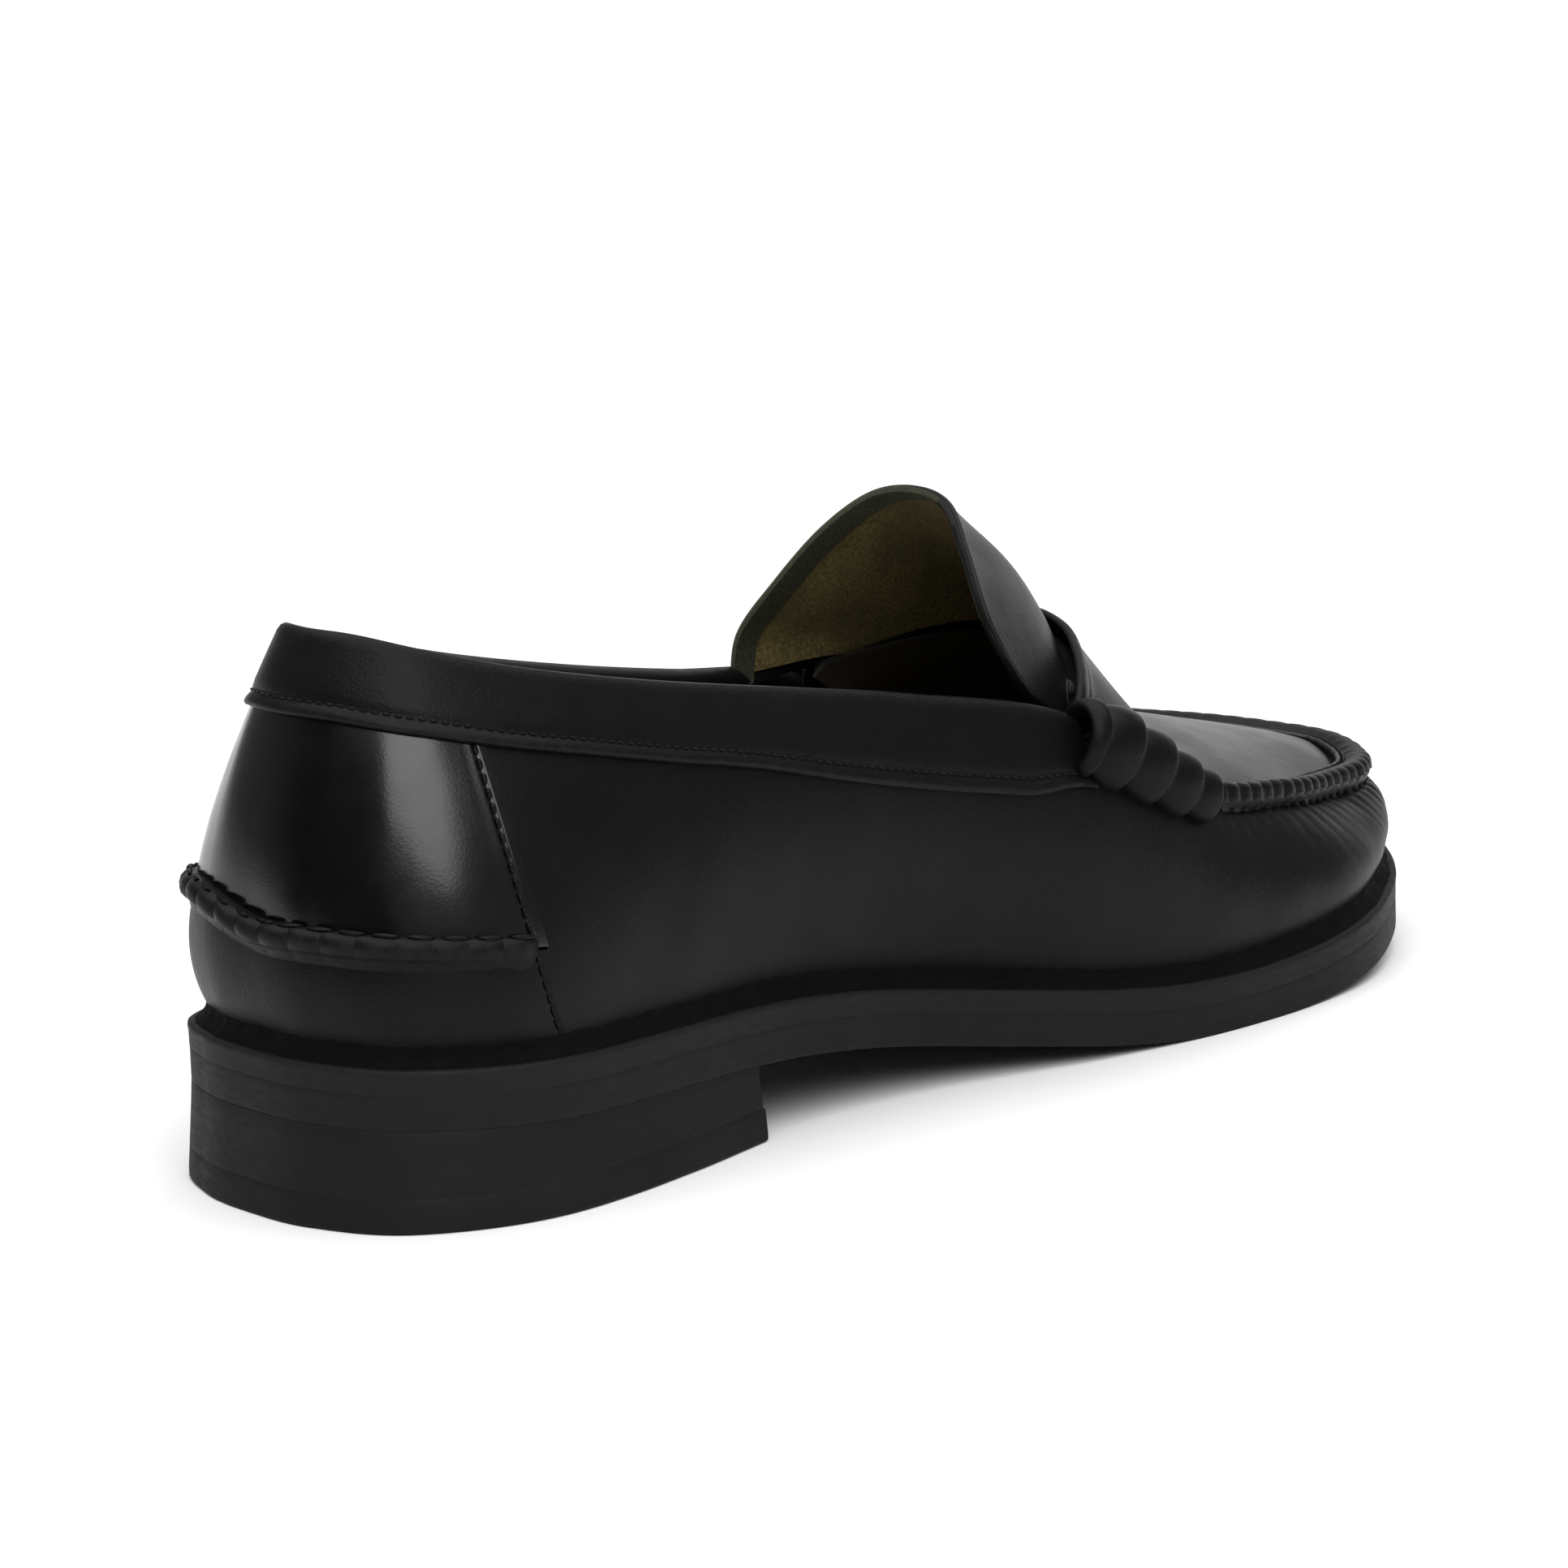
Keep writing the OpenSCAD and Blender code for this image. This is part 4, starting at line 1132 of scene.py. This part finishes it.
def cut(obj, cutter):
    """Cuts one object by another and keeps only the result."""
    modifier = obj.modifiers.new("cut", "BOOLEAN")
    modifier.operation = "DIFFERENCE"
    modifier.solver = "EXACT"
    modifier.object = cutter
    done = bpy.data.meshes.new_from_object(obj.evaluated_get(bpy.context.evaluated_depsgraph_get()))
    obj.modifiers.clear()
    obj.data = done
    bpy.data.objects.remove(cutter)
    for face in obj.data.polygons:
        face.use_smooth = True
    obj.data.set_sharp_from_angle(angle=math.radians(40))


def build_strap():
    """Saddle strap with a creased line along each edge and the slot for a coin."""
    w = np.linspace(0, 1, 161)[:, None]
    u = np.concatenate([np.linspace(0, 0.12, 12), np.linspace(0.12, 0.9, 34)[1:],
                        np.linspace(0.9, 1, 10)[1:]])[None, :]
    crease = 0.32 * np.exp(-((u - 0.065) / 0.012) ** 2) \
        + 0.22 * np.exp(-((u - 0.94) / 0.012) ** 2)
    flare = 0.8 * smooth_step((u - 0.86) / 0.14)
    pillow = 0.25 * np.sin(np.pi * u) ** 0.5
    outer = saddle(u, w, crease - flare - pillow)
    obj = thin_piece("saddle_strap_leather", outer, saddle(u, w, LEATHER - flare * 0.8),
                     LOOKS["strap"], node="saddle_strap", slot="polished_leather")
    cut(obj, slot_cutter())


ROLL_FROM = 6.98
ROLL_TO = 7.99
ROLL_OUT = 3.2
ROLL_IN = 4.6
ROLL_DROP = [2.6, 0.9]
# Where each lobe of a roll ends, as a share of its length, and the lobe's radius.
LOBES = np.array([[0.10, 7.6], [0.34, 8.1], [0.58, 7.2], [0.80, 6.3], [1.0, 5.2]])
TIE = 0.72
TIE_THREAD = 0.42
TIE_THREAD_LIFT = 0.1
ROLL_FLAT = 0.88
ROLL_SIDES = 48
END_RINGS = 44


def roll_radius(s):
    """Radius along a beef roll, whose lobes swell slowly and end in a steep step."""
    starts = np.concatenate([[0], LOBES[:-1, 0]])
    i = np.clip(np.searchsorted(LOBES[:, 0], s), 0, len(LOBES) - 1)
    f = np.clip((s - starts[i]) / (LOBES[i, 0] - starts[i]), 0, 1)
    swell = np.sin(0.5 * np.pi * np.minimum(f / 0.75, 1)) ** 0.6
    return LOBES[i, 1] * mix(TIE, 1.0, swell * (1 - smooth_step((f - 0.8) / 0.2)))


def build_roll(name, inner):
    """Rolled leather at one end of the strap, drawn in by its ties, open at the rear."""
    s = np.unique(np.concatenate([np.linspace(0, 1, 200), LOBES[:-1, 0]]))
    t = mix(ROLL_FROM, ROLL_TO, s)
    t = STATIONS - t if inner else t
    path = skin(t, 1.0) + outward(t) * ROLL_OUT - xyz(0, 0, mix(*ROLL_DROP, s))
    tangent = unit(np.gradient(path, axis=0))
    side = unit(outward(t) - tangent * np.sum(outward(t) * tangent, -1, keepdims=True))
    up = np.cross(side, tangent)
    radius = roll_radius(s)
    rings = tube_rings(path, side * ROLL_FLAT, up, radius, ROLL_SIDES)
    # The roll lies flat against the wall and doesn't reach through its lining.
    sideways = np.sum((rings - path[:, None]) * side[:, None], -1)
    push = np.maximum(-ROLL_IN - sideways, 0)
    rings = rings + side[:, None] * push[..., None]
    angles = np.arange(ROLL_SIDES) / ROLL_SIDES
    # The open end shows the roll's turns as a spiral groove.
    turns = []
    for k in np.linspace(0.06, 1, END_RINGS + 1)[:-1]:
        wave = 0.5 - 0.5 * np.cos(2 * np.pi * (k * 2.3 - angles))
        depth = (3.0 + 1.5 * wave ** 0.7) * smooth_step((1 - k) / 0.3)
        ring = path[0] + (rings[0] - path[0]) * k
        turns.append(ring + tangent[0] * depth[:, None])
    front = [path[-1] + (rings[-1] - path[-1]) * k + tangent[-1] * 1.2 * (1 - k) ** 0.7
             for k in (0.8, 0.5, 0.2)]
    points, faces = loft(np.concatenate([np.stack(turns), rings, np.stack(front)]))
    wear = np.zeros(len(points))
    wear[:END_RINGS * ROLL_SIDES] = 0.25
    mesh_piece(name + "_leather", points, faces, LOOKS["strap"], node=name,
               slot="polished_leather", wear=wear, merge=0.001)
    return path, side, up, s


def ring_thread(path, side, up, s, at, radius):
    """Rings of a thread tied round a roll."""
    i = np.argmin(np.abs(s - at))
    angles = 2 * np.pi * np.arange(60) / 60
    out = side[i] * np.cos(angles)[:, None] * ROLL_FLAT + up[i] * np.sin(angles)[:, None]
    core = path[i] + out * radius
    tangent = unit(np.cross(side[i], up[i]))
    return tube_rings(core, unit(out), np.broadcast_to(tangent, core.shape), TIE_THREAD, 8)


def build_tongue_band(name, start, end, look):
    """Turned edge of the tongue, wide on the inner side and narrow on the outer side."""
    w = np.linspace(start, end, 160)
    reach = tongue_skin(np.ones_like(w), w) - tongue_skin(np.zeros_like(w), w)
    long = np.linalg.norm(reach, axis=-1)
    inner_side = smooth_step((w - 0.3) / 0.4)
    wide = mix(0.3, 4.0, inner_side)
    under = (TONGUE + LINING) * skive(1.0) + 3 * GAP
    section = np.array([[-1.0, under - 0.5], [-1.0, under + 0.15], [-0.8, under + 0.4],
                        [-0.4, under + 0.45], [0.0, under + 0.25], [0.0, under - 0.5],
                        [0.0, 0.5], [0.0, -0.1], [-0.2, -0.2], [-0.45, -0.15], [-0.5, 0.1],
                        [-0.1, 0.3], [-0.1, 0.8]])
    beyond = np.array([0, 0, 0, 0, 0.3, 0.5, 0.5, 0.3, 0, 0, 0, -0.2, -0.2])
    beyond = beyond * mix(0.3, 1.0, inner_side[:, None])
    u = 1 + (section[:, 0] * wide[:, None] + beyond) / long[:, None]
    rings = tongue_face(u, w[:, None], section[:, 1])
    return mesh_piece(name, *loft(rings), LOOKS[look], body=None, slot="polished_leather")


def build_tongue():
    """Tongue with a turned edge, and its napped lining, both starting at the root under the strap.
    """
    w = np.linspace(0, 1, 150)[:, None]
    u = np.concatenate([np.linspace(0, 0.85, 34), np.linspace(0.85, 1, 18)[1:]])[None, :]
    wave = 0.18 * np.sin(7 * w + 3 * u) * np.sin(np.pi * u)
    outer = tongue_face(u, w, wave)
    tongue = thin_piece("tongue_leather", outer, tongue_face(u, w, TONGUE * skive(u)),
                        LOOKS["tongue"], node="tongue", body=None, slot="polished_leather")
    outer_band = build_tongue_band("outer_edge_band", 0.01, 0.42, "tongue")
    inner_band = build_tongue_band("inner_edge_band", 0.42, 0.99, "tongue_edge")
    u = np.linspace(0.03, 0.97, 70)[None, :]
    near = TONGUE * skive(u) + 2 * GAP
    far = near + LINING * skive(u)
    w = np.linspace(0.035, 0.965, 190)[:, None]
    nap = 0.06 * (chance(np.arange(u.size * w.size).reshape(w.size, u.size)) - 0.5)
    quilt = 0.15 * np.sin(5 * w + 2 * u)
    lining = thin_piece("tongue_lining_leather", tongue_face(u, w, near),
                        tongue_face(u, w, far + nap + quilt * np.sin(np.pi * u)),
                        LOOKS["lining"], node="tongue_lining", body=None, slot="lining_leather")
    root = to_frame(tongue_skin(np.array(0.0), np.array(0.5)))
    free = to_frame(tongue_skin(np.array(1.0), np.array(0.5)))
    for obj in (tongue, outer_band, inner_band, lining):
        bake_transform(obj)


# ---- Threads ----

def build_threads(rolls):
    thread = LOOKS["thread"]
    t = np.linspace(RIDGE_START + 0.12, RIDGE_END - 0.12, 1600)
    v = below_top(t, STITCH_DROP)
    marks = [spaced(wall(t, v, 0.15), PINCH, wall_out(t, v)) + [1.5]]
    rim = skin(t, 1.0) - outward(t) * (APRON_INSET + 0.75) + xyz(0, 0, 0.7)
    marks.append(spaced(rim, PINCH, -outward(t)) + [1.3])
    stitches("apron_stitches", marks, 0.36, thread, node="apron_thread", slot="waxed_thread")

    t, s = roll_line()
    length = arc_length(wall(t, roll_height(t)))
    v = roll_height(t) + 0.037
    line = wall(t, v, -roll_reach(s, length) * 0.55)
    over = spaced(line, ROLL_PITCH, wall_out(t, v)) + [4.6]
    stitches("heel_roll_stitches", [over], 0.45, thread, node="heel_roll_thread",
             slot="waxed_thread")

    t = np.linspace(-COLLAR_END + 0.05, COLLAR_END - 0.05, 1400)
    v = below_top(t, (COLLAR - BAND_STITCH) * collar_share(t))
    line = wall(t, v, -(BAND * 0.62 + 2 * GAP + 0.12))
    stitches("collar_stitches", [spaced(line, 2.0, wall_out(t, v)) + [1.55]], 0.24, thread,
             node="collar_thread", slot="waxed_thread")

    runs = []
    for inner in (False, True):
        v = np.linspace(0.03, 0.82, 300)
        t = side_seam(v) + LAP_REACH - SEAM_STITCH_IN / STATION_SPAN
        t = STATIONS - t if inner else t
        runs.append(spaced(wall(t, v, -LAP + 0.1), 2.6, wall_out(t, v)) + [2.1])
    stitches("side_seam_stitches", runs, 0.42, thread, node="side_seam_threads",
             slot="waxed_thread")

    ties = []
    for roll in rolls:
        for at in LOBES[:-1, 0]:
            rings = ring_thread(*roll, at, roll_radius(np.array(at)) + TIE_THREAD_LIFT)
            ties.append(loft(rings, closed=True))
    mesh_piece("beef_roll_ties", *joined(ties), thread, slot="waxed_thread", merge=0)


# ---- CAD nodes that stay, inside the shoe ----

KEPT = {"heel_nails": "steel", "shank": "steel", "cork_filler": "cork", "insole_board": "fibre",
        "toe_puff": "stiffener", "heel_stiffener": "stiffener"}


def dress_kept_nodes():
    for node, look in KEPT.items():
        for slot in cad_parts[node].material_slots:
            slot.material = LOOKS[look]


# ---- Studio ----

CAMERA_TARGET = to_frame(np.array([140.0, 0.0, 45.0]))
CAMERA_AZIMUTH = math.radians(-43.965)
CAMERA_ELEVATION = math.radians(12.567)
CAMERA_ROLL = math.radians(-1.821)
CAMERA_DISTANCE = 1.1992
CAMERA_LENS = 150.5
CAMERA_SHIFT = (-0.0432, 0.0126)
FLOOR_SIZE = 30.0


def link_aimed(name, data, back, where, roll):
    """A camera or light at a place, with its back along a direction, rolled round that axis."""
    right = unit(np.cross([0, 0, 1], back))
    up = np.cross(back, right)
    c, s = math.cos(roll), math.sin(roll)
    pose = np.eye(4)
    pose[:3] = np.stack([right * c + up * s, up * c - right * s, back, where], -1)
    obj = linked(name, data)
    obj.matrix_world = Matrix(pose)
    return obj


def build_camera():
    ca, sa = math.cos(CAMERA_AZIMUTH), math.sin(CAMERA_AZIMUTH)
    ce, se = math.cos(CAMERA_ELEVATION), math.sin(CAMERA_ELEVATION)
    back = np.array([sa * ce, -ca * ce, se])
    data = bpy.data.cameras.new("camera")
    data.lens = CAMERA_LENS
    data.sensor_width = 36
    data.shift_x, data.shift_y = CAMERA_SHIFT
    data.clip_start = 0.05
    data.clip_end = 60
    where = CAMERA_TARGET + back * CAMERA_DISTANCE
    bpy.context.scene.camera = link_aimed("camera", data, back, where, CAMERA_ROLL)


def area_light(name, where, aim, size, power, spin):
    """Soft box at a place, in metres, that faces a point and is spun round that axis."""
    data = bpy.data.lights.new(name, "AREA")
    data.shape = "RECTANGLE"
    data.size, data.size_y = size
    data.energy = power
    back = unit(np.array(where, float) - np.array(aim, float))
    link_aimed(name, data, back, where, math.radians(spin))


def build_studio():
    mesh = bpy.data.meshes.new("floor")
    half = FLOOR_SIZE / 2
    mesh.from_pydata([(-half, -half, 0), (half, -half, 0), (half, half, 0), (-half, half, 0)], [],
                     [(0, 1, 2, 3)])
    floor = linked("floor", mesh)
    look, tree, shader = new_look("pale_floor")
    cloud = noise(tree, place(tree), 300, 2)
    shade = blend_colours(tree, cloud, (0.90, 0.90, 0.905), (0.93, 0.93, 0.93))
    connect(tree, shader, {"Base Color": shade, "Roughness": 0.9, "Specular IOR Level": 0.1})
    mesh.materials.append(look)

    world = bpy.data.worlds.new("studio")
    bpy.context.scene.world = world
    world.use_nodes = True
    tree = world.node_tree
    # Weak light all round, strong from above and from the backdrop beyond the toe; behind
    # the heel the room is dark.
    where = add(tree, "ShaderNodeTexCoord", {}).outputs["Generated"]
    behind = add(tree, "ShaderNodeVectorMath", {0: where, 1: (-0.99, -0.10, 0.0)},
                 operation="DOT_PRODUCT").outputs["Value"]
    height = add(tree, "ShaderNodeSeparateXYZ", {"Vector": where}).outputs["Z"]
    backdrop = add(tree, "ShaderNodeVectorMath", {0: where, 1: (0.80, 0.60, 0.0)},
                   operation="DOT_PRODUCT").outputs["Value"]
    walls = plus(tree, ramp(tree, behind, 0.55, 0.85, 0.20, 0.01),
                 ramp(tree, backdrop, 0.80, 0.97, 0.0, 0.8))
    ceiling = ramp(tree, height, 0.62, 0.85, 0.0, 2.25)
    connect(tree, tree.nodes["Background"], {"Strength": plus(tree, walls, ceiling),
                                             "Color": (1, 1, 1, 1)})

    area_light("heel_softbox", (-0.70, -1.22, 1.13), (-0.12, -0.03, 0.07), (1.20, 0.70), 11, -26)
    bpy.context.scene.view_settings.view_transform = "Standard"


build_camera()
build_studio()
build_sole()
build_heel()
build_rand()
build_footbed()
build_vamp()
build_apron()
build_heel_panels()
build_roll_seam()
build_linings()
build_collar()
build_strap()
roll_frames = [build_roll("beef_roll_outer", False), build_roll("beef_roll_inner", True)]
build_tongue()
build_threads(roll_frames)
dress_kept_nodes()
